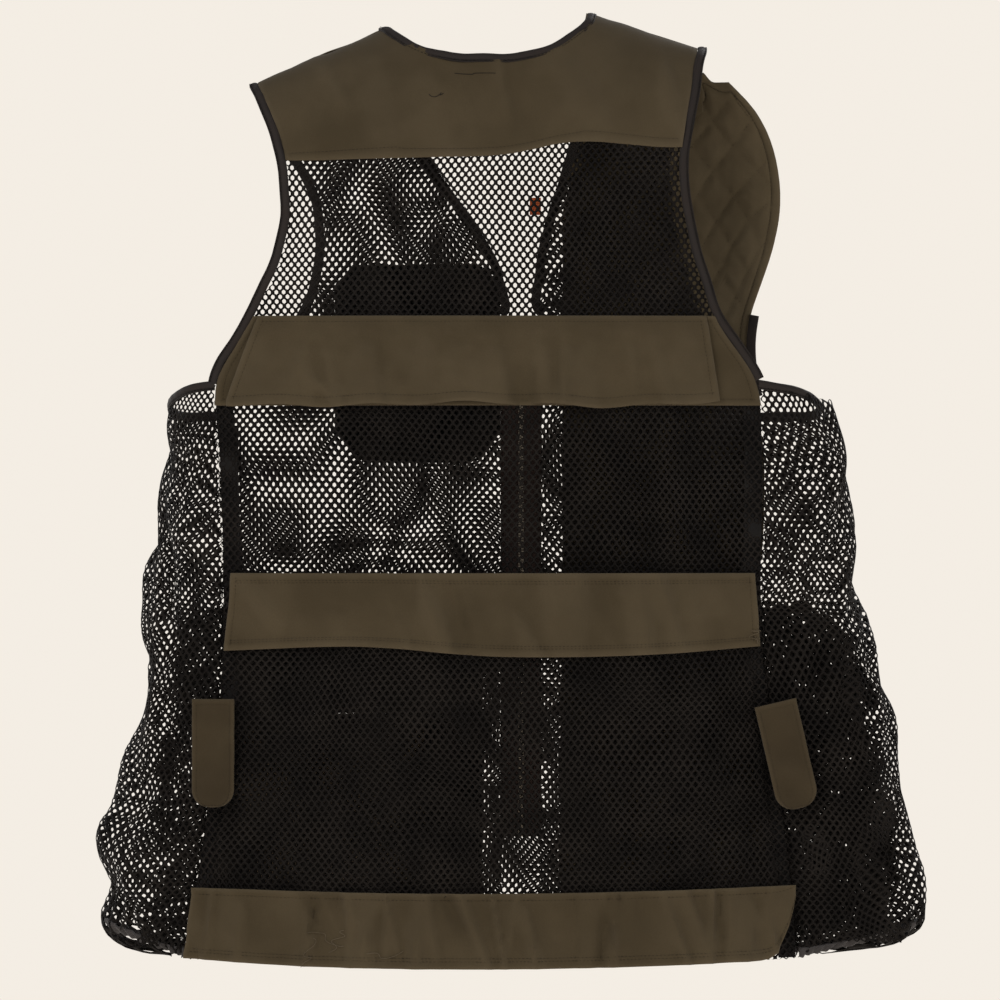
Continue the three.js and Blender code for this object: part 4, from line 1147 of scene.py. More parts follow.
def make_pouch(lining_net):
    low, high = outline(["waist_band"], -1, bottom=-0.498), outline(["waist_band"], 1, bottom=-0.498)
    top_z = high_of("waist_band")
    hem = level_curve("waist_band", -1)

    def relief(p):
        x, z = p[..., 0], p[..., 2]
        folds = creases(x, z, (-0.20, -0.50), (0.20, -0.45), 18, 0.35, 0.0095, 0.0038, 71)
        return 0.0008 * ripple(x, z, 0.07, 72) + folds + 0.0003 * ripple(x, z, 0.018, 73)

    sewn = {"top": [0.0065, 0.0085], "bottom": [0.0065, 0.0085], "left": [0.005], "right": [0.005]}
    cloth, made, threads = band("waist_band_cloth", on_pouch, low, high, flat_level(top_z), hem, OUT_BACK,
                                "waist_band", sewn=sewn, relief=relief, lift=0.0012)
    for n, reach in enumerate([(-0.006, 0.002), (-0.005, -0.003)]):
        start = (0.010, 0.86 + 0.05 * n)
        name = f"waist_loose_thread_{n + 1}"
        threads.append(loose_thread(name, cloth, start, reach, 75 + n, pale_olive_thread))
    cloth.declare(made, "hung", [lining_net], threads)

    foot_top, foot = level_curve("hem_band", 1, -0.239, 0.233), level_curve("hem_band", -1)
    inset = 0.012
    net_low, net_high = lambda z: back_right(z) + inset, lambda z: back_left(z) - inset

    def net_relief(a, b):
        free = np.clip((np.minimum(hem(a) - b, b - foot_top(a)) - 0.002) / 0.015, 0, 1)
        return -0.0016 + free * (0.0016 + 0.0012 * ripple(a, b, 0.06, 81))

    outer = net("pouch_outer_netting", on_pouch, net_low, net_high, lambda x: hem(x) + 0.003,
                lambda x: foot_top(x) - 0.003, OUT_BACK, "pouch_outer_net",
                span_of(net_low, net_high, -0.70, -0.495), relief=net_relief,
                flow=drift(0.16, 0.0022, 82), turn=-0.02)
    declare_net(outer, (0.42, 0.195))

    low2, high2 = (outline(["hem_band"], side, -0.698, -0.744) for side in (-1, 1))

    def on_hem(x, z):
        point = on_back(x, z)
        point[..., 1] += POUCH_LIFT + POUCH_FULLNESS * HEM_SHARE
        return point

    def hem_relief(p):
        x, z = p[..., 0], p[..., 2]
        pleats = creases(x, z, (-0.24, -0.755), (0.25, -0.695), 44, 0.04, 0.0046, 0.0042, 91)
        broad = creases(x, z, (-0.24, -0.755), (0.25, -0.695), 14, 0.5, 0.012, 0.0030, 92)
        return pleats + broad + 0.0008 * ripple(x, z, 0.05, 93)

    sewn = {"top": [0.0055], "bottom": [0.006, 0.0085]}
    cloth, made_hem, threads = band("hem_band_cloth", on_hem, low2, high2, foot_top, foot, OUT_BACK,
                                    "hem_band", sewn=sewn, relief=hem_relief, lift=0.0014, step=0.003)
    for n, (start, reach) in enumerate([((0.80, 0.55), (-0.030, 0.012)), ((0.79, 0.62), (0.004, 0.022)),
                                        ((0.70, 0.80), (-0.026, -0.006)), ((0.74, 0.50), (0.012, 0.020))]):
        name = f"hem_loose_thread_{n + 1}"
        threads.append(loose_thread(name, cloth, start, reach, 95 + n, pale_olive_thread))
    cloth.declare(made_hem, "gathered", [outer], threads)


# ---- Bindings ----

def bindings():
    """The tapes over the raw edges. The neck tape is one piece from the zip, round the neck, to the zip."""
    bottom = low_of("neck_binding_front_left") + 0.001
    front_z = np.linspace(bottom, -0.010, 90)
    left = shell_path(on_front, -1, neck_left(front_z), front_z)
    left_ridge = (np.array([[0.083, 0.0, float(ridge(0.083))]]), np.array([[0.0, 0.0, 1.0]]))
    x = np.linspace(0.079, -0.0775, 90)
    back = shell_path(on_back, 1, x, np.minimum(neckline(x), ridge(x) - 0.0012))
    right_ridge = (np.array([[-0.078, 0.0, float(ridge(-0.078))]]), np.array([[0.0, 0.0, 1.0]]))
    front_z = np.linspace(-0.006, bottom, 90)
    right = shell_path(on_front, -1, neck_right(front_z), front_z)
    parts = [left, left_ridge, back, right_ridge, right]
    points, normals = (np.concatenate([part[k] for part in parts]) for k in (0, 1))
    neck_nodes = ["neck_binding", "neck_binding_front_left", "neck_binding_front_right"]
    neck = binding("neck_edge_tape", points, normals, -1, neck_nodes, 101)

    tip = float(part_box("front_shoulder_left")[1].x)
    tip_z = float(ridge(tip))
    back_z = np.linspace(low_of("armhole_binding_back_left"), tip_z - 0.004, 90)
    front_z = np.linspace(tip_z - 0.004, low_of("armhole_binding_front_left"), 90)
    up = shell_path(on_back, 1, back_left(back_z), back_z)
    over = (np.array([[tip, 0.0, tip_z]]), np.array([[0.0, 0.0, 1.0]]))
    down = shell_path(on_front, -1, front_left(front_z), front_z)
    points, normals = (np.concatenate([part[k] for part in (up, over, down)]) for k in (0, 1))
    nodes = ["armhole_binding_back_left", "armhole_binding_front_left"]
    armhole = binding("left_armhole_tape", points, normals, 1, nodes, 111)

    tip = float(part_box("back_yoke")[0].x)
    tip_z = float(ridge(tip))
    back_z = np.linspace(low_of("armhole_binding_back_right"), tip_z - 0.004, 90)
    up = shell_path(on_back, 1, back_right(back_z), back_z)
    over = (np.array([[tip, -0.002, tip_z]]), np.array([[0.0, 0.0, 1.0]]))
    points, normals = (np.concatenate([part[k] for part in (up, over)]) for k in (0, 1))
    armhole += binding("right_armhole_tape", points, normals, -1, ["armhole_binding_back_right"], 121)
    return {"neck": neck, "armhole": armhole}


# ---- Sides ----

class Gusset:
    """The half-round side between the seams: around = 0 at the back seam, 1 at the front seam."""

    def __init__(self, side):
        self.side = side
        self.sign = 1 if side == "left" else -1
        names = [f"side_net_{side}", f"underarm_binding_{side}", f"side_hem_elastic_{side}"]
        self.outer = outline(names, self.sign, top=-0.302)
        self.back = back_left if side == "left" else back_right
        self.front = front_left if side == "left" else front_right
        self.levels = np.linspace(-0.752, -0.286, 50)
        shares = np.linspace(0, 1, 161)
        level, share = np.meshgrid(self.levels, shares, indexing="ij")
        points = self.surface(share, level)
        run = np.linalg.norm(np.diff(points, axis=1), axis=2).cumsum(1)
        run = np.concatenate([np.zeros((len(self.levels), 1)), run], 1)
        self.length = run[:, -1]
        self.even = np.linspace(0, 1, 121)
        self.table = np.array([np.interp(self.even, row / row[-1], shares) for row in run])

    def surface(self, around, z):
        sign = self.sign
        start = on_back(self.back(np.minimum(z, -0.292)) + sign * SEAM_GAP, z)
        end = on_front(self.front(np.minimum(z, -0.312)) + sign * SEAM_GAP, z)
        bulge, swing = np.sin(math.pi * around), np.cos(math.pi * around)
        seam = between(start[..., 0], end[..., 0], around)
        y = np.where(swing > 0, start[..., 1] * swing, -end[..., 1] * swing)
        return np.stack([between(seam, self.outer(z) - sign * 0.0012, bulge), y, z], -1)

    def flat(self, a, z):
        """The place a metres round from the back seam, measured on the surface."""
        length = np.interp(z, self.levels, self.length)
        share = np.clip(a / length, -0.02, 1.02)
        row = np.clip(np.interp(z, self.levels, np.arange(len(self.levels))), 0, len(self.levels) - 1.001)
        column = np.clip(share * 120, 0, 119.999)
        r, c = row.astype(int), column.astype(int)
        fr, fc = row - r, column - c
        t = self.table
        around = (t[r, c] * (1 - fr) + t[r + 1, c] * fr) * (1 - fc)
        around += (t[r, c + 1] * (1 - fr) + t[r + 1, c + 1] * fr) * fc
        around += np.where(share < 0, share, 0) + np.where(share > 1, share - 1, 0)
        return self.surface(around, z)

    def outward(self, points):
        x = points[..., 0] - self.sign * 0.19
        return np.stack([x, 0.6 * points[..., 1], 0 * x], -1)

    def top(self, around):
        rise = np.clip(around / 0.8, 0, 1)
        return -between(0.290, 0.314, rise * rise * (3 - 2 * rise))

    def foot(self, around):
        return -(0.748 - 0.022 * np.sin(math.pi * around) ** 2)

    def edge_path(self, level):
        around = np.linspace(0, 1, 120)
        points = self.surface(around, level(around))
        return points, unit(self.outward(points))


def unit(vectors):
    return vectors / np.maximum(np.linalg.norm(vectors, axis=-1, keepdims=True), 1e-12)


# The netting folded away beside each back seam: how far it reaches from the seam at each level.
PLEATS = {
    "right": {"reach": [(-0.745, 0.086), (-0.66, 0.089), (-0.56, 0.088), (-0.50, 0.074), (-0.465, 0.040)],
              "top": -0.466, "foot": -0.735, "layers": 3, "wide": 0.094},
    "left": {"reach": [(-0.745, 0.040), (-0.64, 0.044), (-0.56, 0.050), (-0.50, 0.040), (-0.465, 0.018)],
             "top": -0.470, "foot": -0.738, "layers": 1, "wide": 0.052},
}


def make_side(side, seed):
    g = Gusset(side)
    sign, width = g.sign, float(g.length.mean())
    points, normals = g.edge_path(g.top)
    edge = binding(f"underarm_tape_{side}", points, normals, sign, [f"underarm_binding_{side}"], seed)

    def share_of(a, b):
        return np.clip(a / np.interp(b, g.levels, g.length), 0, 1)

    def span_curve(curve, inset, length):
        return lambda a: curve(np.clip(a / length, 0, 1)) + inset

    def relief(a, b):
        free = np.sin(math.pi * share_of(a, b)) ** 0.7
        folds = creases(a, b, (0.02, -0.74), (width - 0.02, -0.34), 16, 0.35, 0.014, 0.006, seed + 1)
        gathered = np.clip((-0.66 - b) / 0.08, 0, 1) * 0.0035 * np.sin(2 * math.pi * a / 0.017)
        return free * (folds + 0.0035 * ripple(a, b, 0.09, seed + 2)) + free * gathered

    low, high = (lambda b: np.zeros(np.shape(b))), (lambda b: np.interp(b, g.levels, g.length))
    top, foot = span_curve(g.top, -0.004, g.length[-1]), span_curve(g.foot, 0.005, g.length[0])
    made = net(f"side_netting_{side}", g.flat, low, high, top, foot, g.outward, f"side_net_{side}",
               (0.0, float(g.length.max()), -0.748, -0.290), relief=relief,
               flow=drift(0.14, 0.0035, seed + 3), opening=0.94)
    hem = make_side_hem(g, seed)
    declare_net(made, (width, 0.44), edge + hem)
    make_pleat(g, seed + 4, **PLEATS[side])


def make_pleat(g, seed, reach, top, foot, layers, wide):
    """Netting that is folded away inside a side, next to the back seam, in loose layers."""
    reach_at = curve_through(reach)
    for n in range(layers):
        def surface(a, b, n=n):
            x = g.back(np.minimum(b, -0.292)) + g.sign * (a - 0.007)
            return np.stack([x, 0.036 - 0.016 * n + 0 * x, b], -1)

        def high(b, n=n):
            wander = 0.006 * np.sin(2 * math.pi * b / 0.13 + n) + 0.003 * np.sin(2 * math.pi * b / 0.05)
            return reach_at(b) + wander

        def relief(a, b, n=n):
            folds = creases(a, b, (0, foot), (0.10, top), 8, 0.15, 0.014, 0.004, seed + n)
            return folds + 0.003 * ripple(a, b, 0.08, seed + 10 + n)

        low = flat_side(0.0)
        made = net(f"side_pleat_{g.side}_{n + 1}", surface, low, high, flat_level(top - 0.004 * n),
                   flat_level(foot + 0.003 * n), (0, 1, 0), None, (0.0, 0.12, foot, top), lift=0.0006,
                   relief=relief, flow=drift(0.07, 0.004, seed + 20 + n), turn=0.12 - 0.3 * n, opening=0.8)
        declare_net(made, (wide, top - foot))


def make_side_hem(g, seed):
    """The gathered elastic along the foot of a side."""
    def place(u, v):
        return g.surface(u, g.foot(u) + 0.008 * (1 - v))

    def relief(p):
        run = np.arctan2(p[..., 1], np.abs(p[..., 0]) - 0.19) * 0.07
        return 0.0011 * np.sin(2 * math.pi * run / 0.0042) + 0.0006 * ripple(run, p[..., 2], 0.012, seed + 9)

    cloth = Sheet(place, float(g.length[0]), 0.008, g.outward, thick=0.0016, relief=relief, step=0.0012)
    node = f"side_hem_elastic_{g.side}"
    return [cloth.build(f"side_elastic_{g.side}", elastic, "root", [node])]


def make_seam_tapes():
    seams = [("back", "left", on_back, back_left, -1), ("back", "right", on_back, back_right, 1),
             ("front", "left", on_front, front_left, -1), ("front", "right", on_front, front_right, 1)]
    for n, (face, side, shell, seam, inward) in enumerate(seams):
        node = f"{face}_seam_tape_{side}"
        ends = (high_of(node), low_of(node))

        def place(u, v, shell=shell, seam=seam, inward=inward, ends=ends):
            z = between(ends[0], ends[1], v)
            return shell(seam(z) + inward * 0.014 * u, z)

        def relief(p, n=n):
            return 0.0007 * ripple(p[..., 2], p[..., 0], 0.03, 140 + n)

        outward = OUT_BACK if face == "back" else OUT_FRONT
        cloth = Sheet(place, 0.014, ends[0] - ends[1], outward, thick=0.0014, lift=-0.0042, relief=relief,
                      sewn={"left": [0.002], "right": [0.002]}, step=0.003)
        made = cloth.build(node + "_cloth", seam_yarn, "root", [node])
        cloth.declare(made, "hung", [f"{face}_net"])


# ---- Front cloth ----

ZIP_CENTRE = -0.025
CLOSURE = 0.0164  # from the zip's centre to the netting's edge
NECK_FOOT = -0.240  # level where the neck's edges reach the zip
SHOULDER_TIPS = {"left": 0.187, "right": -0.166}
UNDER_PAD = 0.016  # how far the right shoulder cloth runs on under the gun pad


def inner_left(z):
    edge = ZIP_CENTRE + CLOSURE
    return np.where(z > NECK_FOOT, np.maximum(neck_left(z) + 0.0004, edge), edge)


def inner_right(z):
    edge = ZIP_CENTRE - CLOSURE
    return np.where(z > NECK_FOOT, np.minimum(neck_right(z) - 0.0004, edge), edge)


def make_front_shoulders():
    pad_top = level_curve("gun_pad", 1, -0.190, -0.070)
    for side, edge, corner in (("left", neck_left, NECK_SIDE_LEFT), ("right", neck_right, NECK_SIDE_RIGHT)):
        node = f"front_shoulder_{side}"
        tip = SHOULDER_TIPS[side]
        hem = level_curve(node, -1, *((0.062, 0.148) if side == "left" else (-0.158, -0.064)))

        def foot(x, side=side, hem=hem):
            return hem(x) if side == "left" else np.minimum(hem(x), pad_top(x) - UNDER_PAD)

        def outer(z, side=side, tip=tip):
            if side == "left":
                return front_left(np.minimum(z, TIP_LEFT))
            return tip - 0.005 * np.clip((-0.046 - z) / 0.01, 0, 1)

        def place(u, v, edge=edge, tip=tip, corner=corner, foot=foot, outer=outer):
            x = between(corner, tip, u)
            for _ in range(8):
                z = between(ridge(x), foot(x), v**2)
                x = between(edge(z), outer(z), u)
            point = on_front(x, np.minimum(z, ridge(x)))
            point[..., 1] += 0.0010 * np.exp(-v / 0.004)
            return point

        def relief(p, side=side):
            return 0.0008 * ripple(p[..., 0], p[..., 2], 0.07, 151 if side == "left" else 152)

        sewn = {"bottom": [0.0052]}
        cloth = Sheet(place, abs(tip - corner), 0.11, OUT_FRONT, sewn=sewn, relief=relief)
        made = cloth.build(f"{node}_cloth", olive, "root", [node])
        thread = seam_stitches(node, cloth.sewn_lines(sewn, 0.004))
        cloth.declare(made, "hung", ["shoulders"], [thread])


def make_front_nets():
    foot = low_of("front_net_left")
    top = high_of("front_net_left")

    def sag(seed):
        def relief(a, b):
            folds = creases(a, b, (-0.2, -0.70), (0.2, -0.15), 16, 0.5, 0.018, 0.0030, seed)
            return np.minimum(-0.0004, -0.0010 + 0.6 * folds + 0.0018 * ripple(a, b, 0.07, seed + 1))
        return relief

    left = net("front_netting_left", on_front, inner_left, lambda z: front_left(z) - 0.0005,
               flat_level(top), flat_level(foot), OUT_FRONT, "front_net_left",
               (-0.012, 0.256, foot, top), relief=sag(161), flow=drift(0.15, 0.0040, 162),
               turn=0.04, opening=0.86)
    declare_net(left, (0.24, 0.646))

    tops = level_curve("front_net_right", 1, -0.190, -0.066)

    def low(z):
        """Above the underarm the net stops at the back armhole's line, and the pad alone goes on."""
        share = np.clip((z + 0.310) / 0.025, 0, 1)
        return between(front_right(z) + 0.002, np.maximum(back_right(z) + 0.006, -0.215), share)

    right = net("front_netting_right", on_front, low, inner_right, tops, flat_level(foot), OUT_FRONT,
                "front_net_right", (-0.247, -0.040, foot, -0.046), relief=sag(171),
                flow=drift(0.15, 0.0045, 172), turn=-0.04, opening=0.86)
    declare_net(right, (0.21, 0.70))


QUILT_WIDE = 0.030
QUILT_TALL = 0.040


def make_gun_pad():
    tops = level_curve("gun_pad", 1, -0.190, -0.070)
    inner = outline(["gun_pad"], 1, top=-0.104)
    outer = front_right
    width, height = 0.160, 0.36
    step = 0.0022
    us, vs = stops(width, step, [0.0065, width - 0.0065]), stops(height, step, [0.0065, height - 0.0065])
    u, v = np.meshgrid(us, vs)
    foot = low_of("gun_pad")
    nominal = between(-0.205, -0.060, u)
    z = between(tops(nominal) - 0.0005, foot + 0.0005, v)
    x = between(outer(z), inner(z), u)
    base = on_front(x, z)
    normal = normals_of(base, np.array(OUT_FRONT))
    bend = 0.006 * ripple(x, z, 0.16, 181)
    one = np.abs(np.sin(math.pi * ((x + bend) / QUILT_WIDE + z / QUILT_TALL)))
    two = np.abs(np.sin(math.pi * ((x + bend) / QUILT_WIDE - z / QUILT_TALL)))
    border = np.minimum.reduce([u * width, (1 - u) * width, v * height, (1 - v) * height])
    line = np.clip(np.abs(border - 0.0065) / 0.008, 0, 1)
    puff = np.minimum(np.minimum(one, two) / 0.75, 1) ** 0.55
    puff = np.where(border > 0.0065, np.minimum(puff, line**0.5), np.minimum(0.55, line**0.5))
    puff = puff * (0.86 + 0.14 * ripple(x, z, 0.03, 182)) * np.clip(border / 0.0012, 0.12, 1)
    sag = 0.0010 * ripple(x, z, 0.09, 183) + 0.0010
    wrinkle = 0.0002 * ripple(x, z, 0.009, 184)
    middle = base + normal * (LAYER + 0.0030 + np.maximum(sag, 0))[..., None]
    front = middle + normal * (0.0005 + 0.0031 * puff + wrinkle)[..., None]
    back = middle - normal * (0.0005 + 0.0024 * puff + wrinkle)[..., None]
    # Lighter on the tops of the puffs as a painted highlight, so the quilting seams read as shaded; lighter
    # at the border for wear.
    wear_and_highlight = np.clip(0.5 * (puff - 0.75) + 0.5 * np.exp(-border / 0.002), 0, 0.6)
    if faces_along(base, normal):
        front, back, wear_and_highlight = front[:, ::-1], back[:, ::-1], wear_and_highlight[:, ::-1]
    mesh, used = thick_mesh("gun_pad_quilting", front, back)
    set_attribute(mesh, "wear_and_highlight", np.concatenate([wear_and_highlight.ravel(), wear_and_highlight.ravel()])[used])
    made = piece("gun_pad_quilting", mesh, quilt_painted_light, "root", ["gun_pad"])
    seams = [(x + bend) / QUILT_WIDE + z / QUILT_TALL, (x + bend) / QUILT_WIDE - z / QUILT_TALL]
    pad_stitches(us, vs, width, height, middle, normal, seams)
    make_piping()


def pad_stitches(us, vs, width, height, middle, normal, seams):
    """The pad's border seam and the diagonal quilting seams on both faces."""
    paths = []

    def sample(pu, pv, lift):
        i = np.clip(np.interp(pu, us, np.arange(len(us))), 0, len(us) - 1.001)
        j = np.clip(np.interp(pv, vs, np.arange(len(vs))), 0, len(vs) - 1.001)
        i0, j0 = i.astype(int), j.astype(int)
        fi, fj = (i - i0)[:, None], (j - j0)[:, None]
        read = []
        for grid in (middle, normal):
            upper = grid[j0, i0] * (1 - fi) + grid[j0, i0 + 1] * fi
            lower = grid[j0 + 1, i0] * (1 - fi) + grid[j0 + 1, i0 + 1] * fi
            read.append(upper * (1 - fj) + lower * fj)
        return read[0] + read[1] * lift, read[1] * np.sign(lift)

    a, b = 0.0065 / width, 0.0065 / height
    for lift in (0.0007, -0.0007):
        along = np.linspace(0, 1, 200)
        for start, end in (((a, b), (1 - a, b)), ((a, 1 - b), (1 - a, 1 - b)), ((a, b), (a, 1 - b)),
                           ((1 - a, b), (1 - a, 1 - b))):
            pu, pv = between(start[0], end[0], along), between(start[1], end[1], along)
            paths.append(sample(pu, pv, lift))
        paths += quilting_lines(us, vs, seams, sample, lift, a, b)
    return stitches("gun_pad_stitching", paths, olive_thread)


def quilting_lines(us, vs, seams, sample, lift, a, b):
    """The diagonal seams as paths on one face. Each field in seams is whole where a seam runs."""
    paths = []
    for field in seams:
        fine_v = np.linspace(b, 1 - b, 320)
        rows = np.stack([np.interp(fine_v, vs, field[:, k]) for k in range(len(us))], 1)
        rising = rows[0, -1] > rows[0, 0]
        for whole in range(math.ceil(rows.min()), math.floor(rows.max()) + 1):
            across = [np.interp(whole, row, us, -1, -1) if rising else np.interp(-whole, -row, us, -1, -1)
                      for row in rows]
            across = np.array(across)
            within = np.nonzero((across > a) & (across < 1 - a))[0]
            if len(within) < 8:
                continue
            for run in np.split(within, np.nonzero(np.diff(within) > 1)[0] + 1):
                if len(run) >= 8:
                    paths.append(sample(across[run], fine_v[run], lift))
    return paths


def make_piping():
    node = "gun_pad_piping"
    z = np.linspace(high_of(node), low_of(node), 40)
    outer = outline([node], -1)
    points, normals = shell_path(on_front, -1, outer(z) + 0.001, z)
    points = points + normals * LAYER
    binding("gun_pad_edge_tape", points, normals, 1, [node], 191)


def make_front_overlays():
    sewn = {"left": [0.005], "right": [0.006], "bottom": [0.005], "top": [0.005]}
    side_right = outline(["front_panel_right"], -1)
    inner = outline(["front_panel_right"], 1)

    def relief(p):
        folds = creases(p[..., 0], p[..., 2], (-0.22, -0.70), (-0.07, -0.45), 9, 0.4, 0.013, 0.0022, 201)
        return 0.0012 * ripple(p[..., 0], p[..., 2], 0.08, 202) + np.maximum(folds, -0.0010)

    top, foot = high_of("front_panel_right"), low_of("front_panel_right")
    cloth, made, threads = band("front_panel_cloth", on_front, side_right, inner, flat_level(top + 0.002),
                                flat_level(foot), OUT_FRONT, "front_panel_right", sewn=sewn, relief=relief,
                                lift=LAYER + 0.0006)
    cloth.declare(made, "hung", ["gun_pad_quilting"], threads)

    top, foot = high_of("pocket_backing_left"), low_of("pocket_backing_left")
    low, high = flat_side(float(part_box("pocket_backing_left")[0].x)), lambda z: front_left(z) - 0.002
    inner_cut, outer_cut, cut_top = 0.0535, 0.206, -0.5455
    cut_foot = low_of("lower_pocket_left") + 0.006

    def facing(x, z):
        """The facing is cut away behind the pocket, and whole round it."""
        return (z > cut_top) | (z < cut_foot) | (x < inner_cut) | (x > outer_cut)

    def backing_relief(p):
        return 0.0008 * ripple(p[..., 0], p[..., 2], 0.06, 211)

    cloth, made, _ = band("pocket_facing_cloth", on_front, low, high, flat_level(top + 0.009),
                          flat_level(foot), OUT_FRONT, "pocket_backing_left", material=lining,
                          relief=backing_relief, lift=LAYER + 0.0004, keep=facing,
                          step=0.003)
    cloth.declare(made, "hung", ["front_netting_left"])

    for side in ("left", "right"):
        node = f"front_hem_{side}"
        ends = [(lambda z: front_left(z) - 0.002), (lambda z: front_right(z) + 0.002)]
        closure = flat_side(float(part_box(node)[0 if side == "left" else 1].x))
        low, high = (closure, ends[0]) if side == "left" else (ends[1], closure)

        def hem_relief(p, side=side):
            seed = 221 if side == "left" else 231
            x, z = p[..., 0], p[..., 2]
            pleats = creases(x, z, (-0.24, -0.75), (0.25, -0.70), 30, 0.1, 0.005, 0.0014, seed)
            return np.maximum(pleats, -0.0009) + 0.0006 * ripple(x, z, 0.05, seed + 1)

        sewn = {"top": [0.005], "bottom": [0.006]}
        cloth, made, threads = band(f"{node}_cloth", on_front, low, high, flat_level(high_of(node)),
                                    flat_level(low_of(node)), OUT_FRONT, node, relief=hem_relief, sewn=sewn,
                                    lift=LAYER + 0.0006, step=0.0035)
        cloth.declare(made, "gathered", [f"front_netting_{side}"], threads)


def flat_side(x):
    return lambda z: np.full(np.shape(z), x) if np.ndim(z) else x


# ---- Plates in their own frames: pockets, tabs, zips ----

class Frame:
    """A node's own flat frame: right, out and up directions, and its origin at the top middle of its back."""

    def __init__(self, node, out_sign, joint=None):
        mesh = frame["nodes"][node].data
        points = np.array([v.co for v in mesh.vertices])
        normals = np.array([f.normal for f in mesh.polygons])
        areas = np.array([f.area for f in mesh.polygons])
        facing = normals[:, 1] * out_sign > 0.5
        best = None
        for normal in normals[facing]:
            share = areas[(normals @ normal) > 0.9995].sum()
            if best is None or share > best[0] + 1e-9:
                best = (share, normal)
        self.out = unit(best[1])
        if joint:
            axis = next(np.array(j["axis"]) for j in frame["joints"] if j["name"] == joint)
            self.up = unit(np.cross(self.out, axis))
            self.up *= np.sign(self.up[2])
        else:
            self.up = unit(np.array([0, 0, 1.0]) - self.out * self.out[2])
        self.right = np.cross(self.up, self.out)
        local = points @ np.array([self.right, self.out, self.up]).T
        low, high = local.min(0), local.max(0)
        self.size = high - low
        self.origin = ((low[0] + high[0]) / 2) * self.right + low[1] * self.out + high[2] * self.up

    def world(self, x, out, up):
        x, out, up = np.broadcast_arrays(x, out, up)
        return self.origin + x[..., None] * self.right + out[..., None] * self.out + up[..., None] * self.up


RIMS = np.array([0.0008, 0.002, 0.0035, 0.0055, 0.008, 0.011, 0.015])  # fine steps in from a pocket's edge


def pocket_stops(length, extra=()):
    """Places from 0 to 1 across a pocket: fine at both rims and at any extra places, then even."""
    even = np.linspace(0.11, 0.89, int(length * 0.78 / 0.003))
    places = np.concatenate([[0, 1], RIMS / length, 1 - RIMS / length, np.array(extra) / length, even])
    return np.unique(np.round(places, 6))


def make_pocket_cloth(name, f, half_at, material, node, mouth=None, seed=0):
    """A patch pocket: one cloth whose face stands off the body and whose edges turn in to it.

    half_at(down) gives half its width. mouth is the zip opening: its top and bottom distances down, and
    half its width.
    """
    width, height, depth = f.size[0], f.size[2], f.size[1]
    beside = [mouth[0] - 0.0025, mouth[0], mouth[1], mouth[1] + 0.0025] if mouth else []
    u, v = np.meshgrid(pocket_stops(width), pocket_stops(height, beside))
    down = v * height
    half = half_at(down)
    x = (2 * u - 1) * half
    edge = np.minimum.reduce([half - np.abs(x), down, height - down])
    profile = 1 - np.exp(-((edge / 0.0050) ** 1.6))
    slump = 0.0010 * ripple(x, down, 0.05, seed) + 0.0005 * ripple(x, down, 0.02, seed + 1)
    folds = creases(x, down, (-width / 2, 0.03), (width / 2, height), 8, 0.3, 0.010, 0.0016, seed + 2)
    face = profile * (depth - 0.0034 + np.minimum(slump + folds, 0.0012))
    hem = 0.0004 * np.exp(-(((edge - 0.009) / 0.0009) ** 2))
    outer = f.world(x, 0.0014 + face - hem, -down)
    inner = f.world(x * 0.995, np.maximum(face - 0.0002 - hem, 0.0), -down)
    keep = None
    if mouth:
        middle_x = (x[:-1, :-1] + x[1:, 1:]) / 2
        middle_z = (down[:-1, :-1] + down[1:, 1:]) / 2
        keep = ~((middle_z > mouth[0]) & (middle_z < mouth[1]) & (np.abs(middle_x) < mouth[2]))
    wear_and_highlight = np.clip(np.exp(-(((edge - 0.006) / 0.003) ** 2)) * 0.45, 0, 1)
    if faces_along(outer, f.out):
        outer, inner, wear_and_highlight = outer[:, ::-1], inner[:, ::-1], wear_and_highlight[:, ::-1]
        keep = None if keep is None else keep[:, ::-1]
    mesh, used = thick_mesh(name, outer, inner, keep)
    set_attribute(mesh, "wear_and_highlight", np.concatenate([wear_and_highlight.ravel(), 0.3 * wear_and_highlight.ravel()])[used])
    made = piece(name, mesh, material, "root", [node])
    flat = (width + 2 * depth, height + depth)
    area = min(mesh_area(mesh) / 2, flat[0] * flat[1])
    return made


def cut_half(width, height, top_cut, foot_cut):
    """Half the width of a pocket whose corners are cut, against the distance down."""
    half = width / 2
    places = [0, max(top_cut, 1e-6), height - foot_cut, height]
    values = [half - top_cut, half, half, half - foot_cut]
    return lambda down: np.interp(down, places, values)


TOOTH_TAPER = 0.7


def boxes_mesh(name, centres, right, out, up, size):
    """Many small rounded blocks, for zip teeth."""
    sx, sy, sz = (d / 2 for d in size)
    corners = []
    for y, t in ((-sy, 1.0), (sy * 0.4, 1.0), (sy, TOOTH_TAPER)):
        corners += [(-sx * t, y, -sz * t), (sx * t, y, -sz * t), (sx * t, y, sz * t), (-sx * t, y, sz * t)]
    local = np.array(corners) @ np.array([right, out, up])
    points = (np.array(centres)[:, None] + local).reshape(-1, 3)
    base = np.arange(len(centres))[:, None] * 12
    quads = [[3, 2, 1, 0], [8, 9, 10, 11]]
    for ring in (0, 4):
        quads += [[ring + k, ring + (k + 1) % 4, ring + 4 + (k + 1) % 4, ring + 4 + k] for k in range(4)]
    faces = np.concatenate([base + np.array(q) for q in quads])
    first = points[faces[1 * len(centres)]]
    face = np.cross(first[1] - first[0], first[2] - first[0])
    if face @ out < 0:
        faces = faces[:, ::-1]
    return mesh_of(name, points, faces, sharp=40)[0]


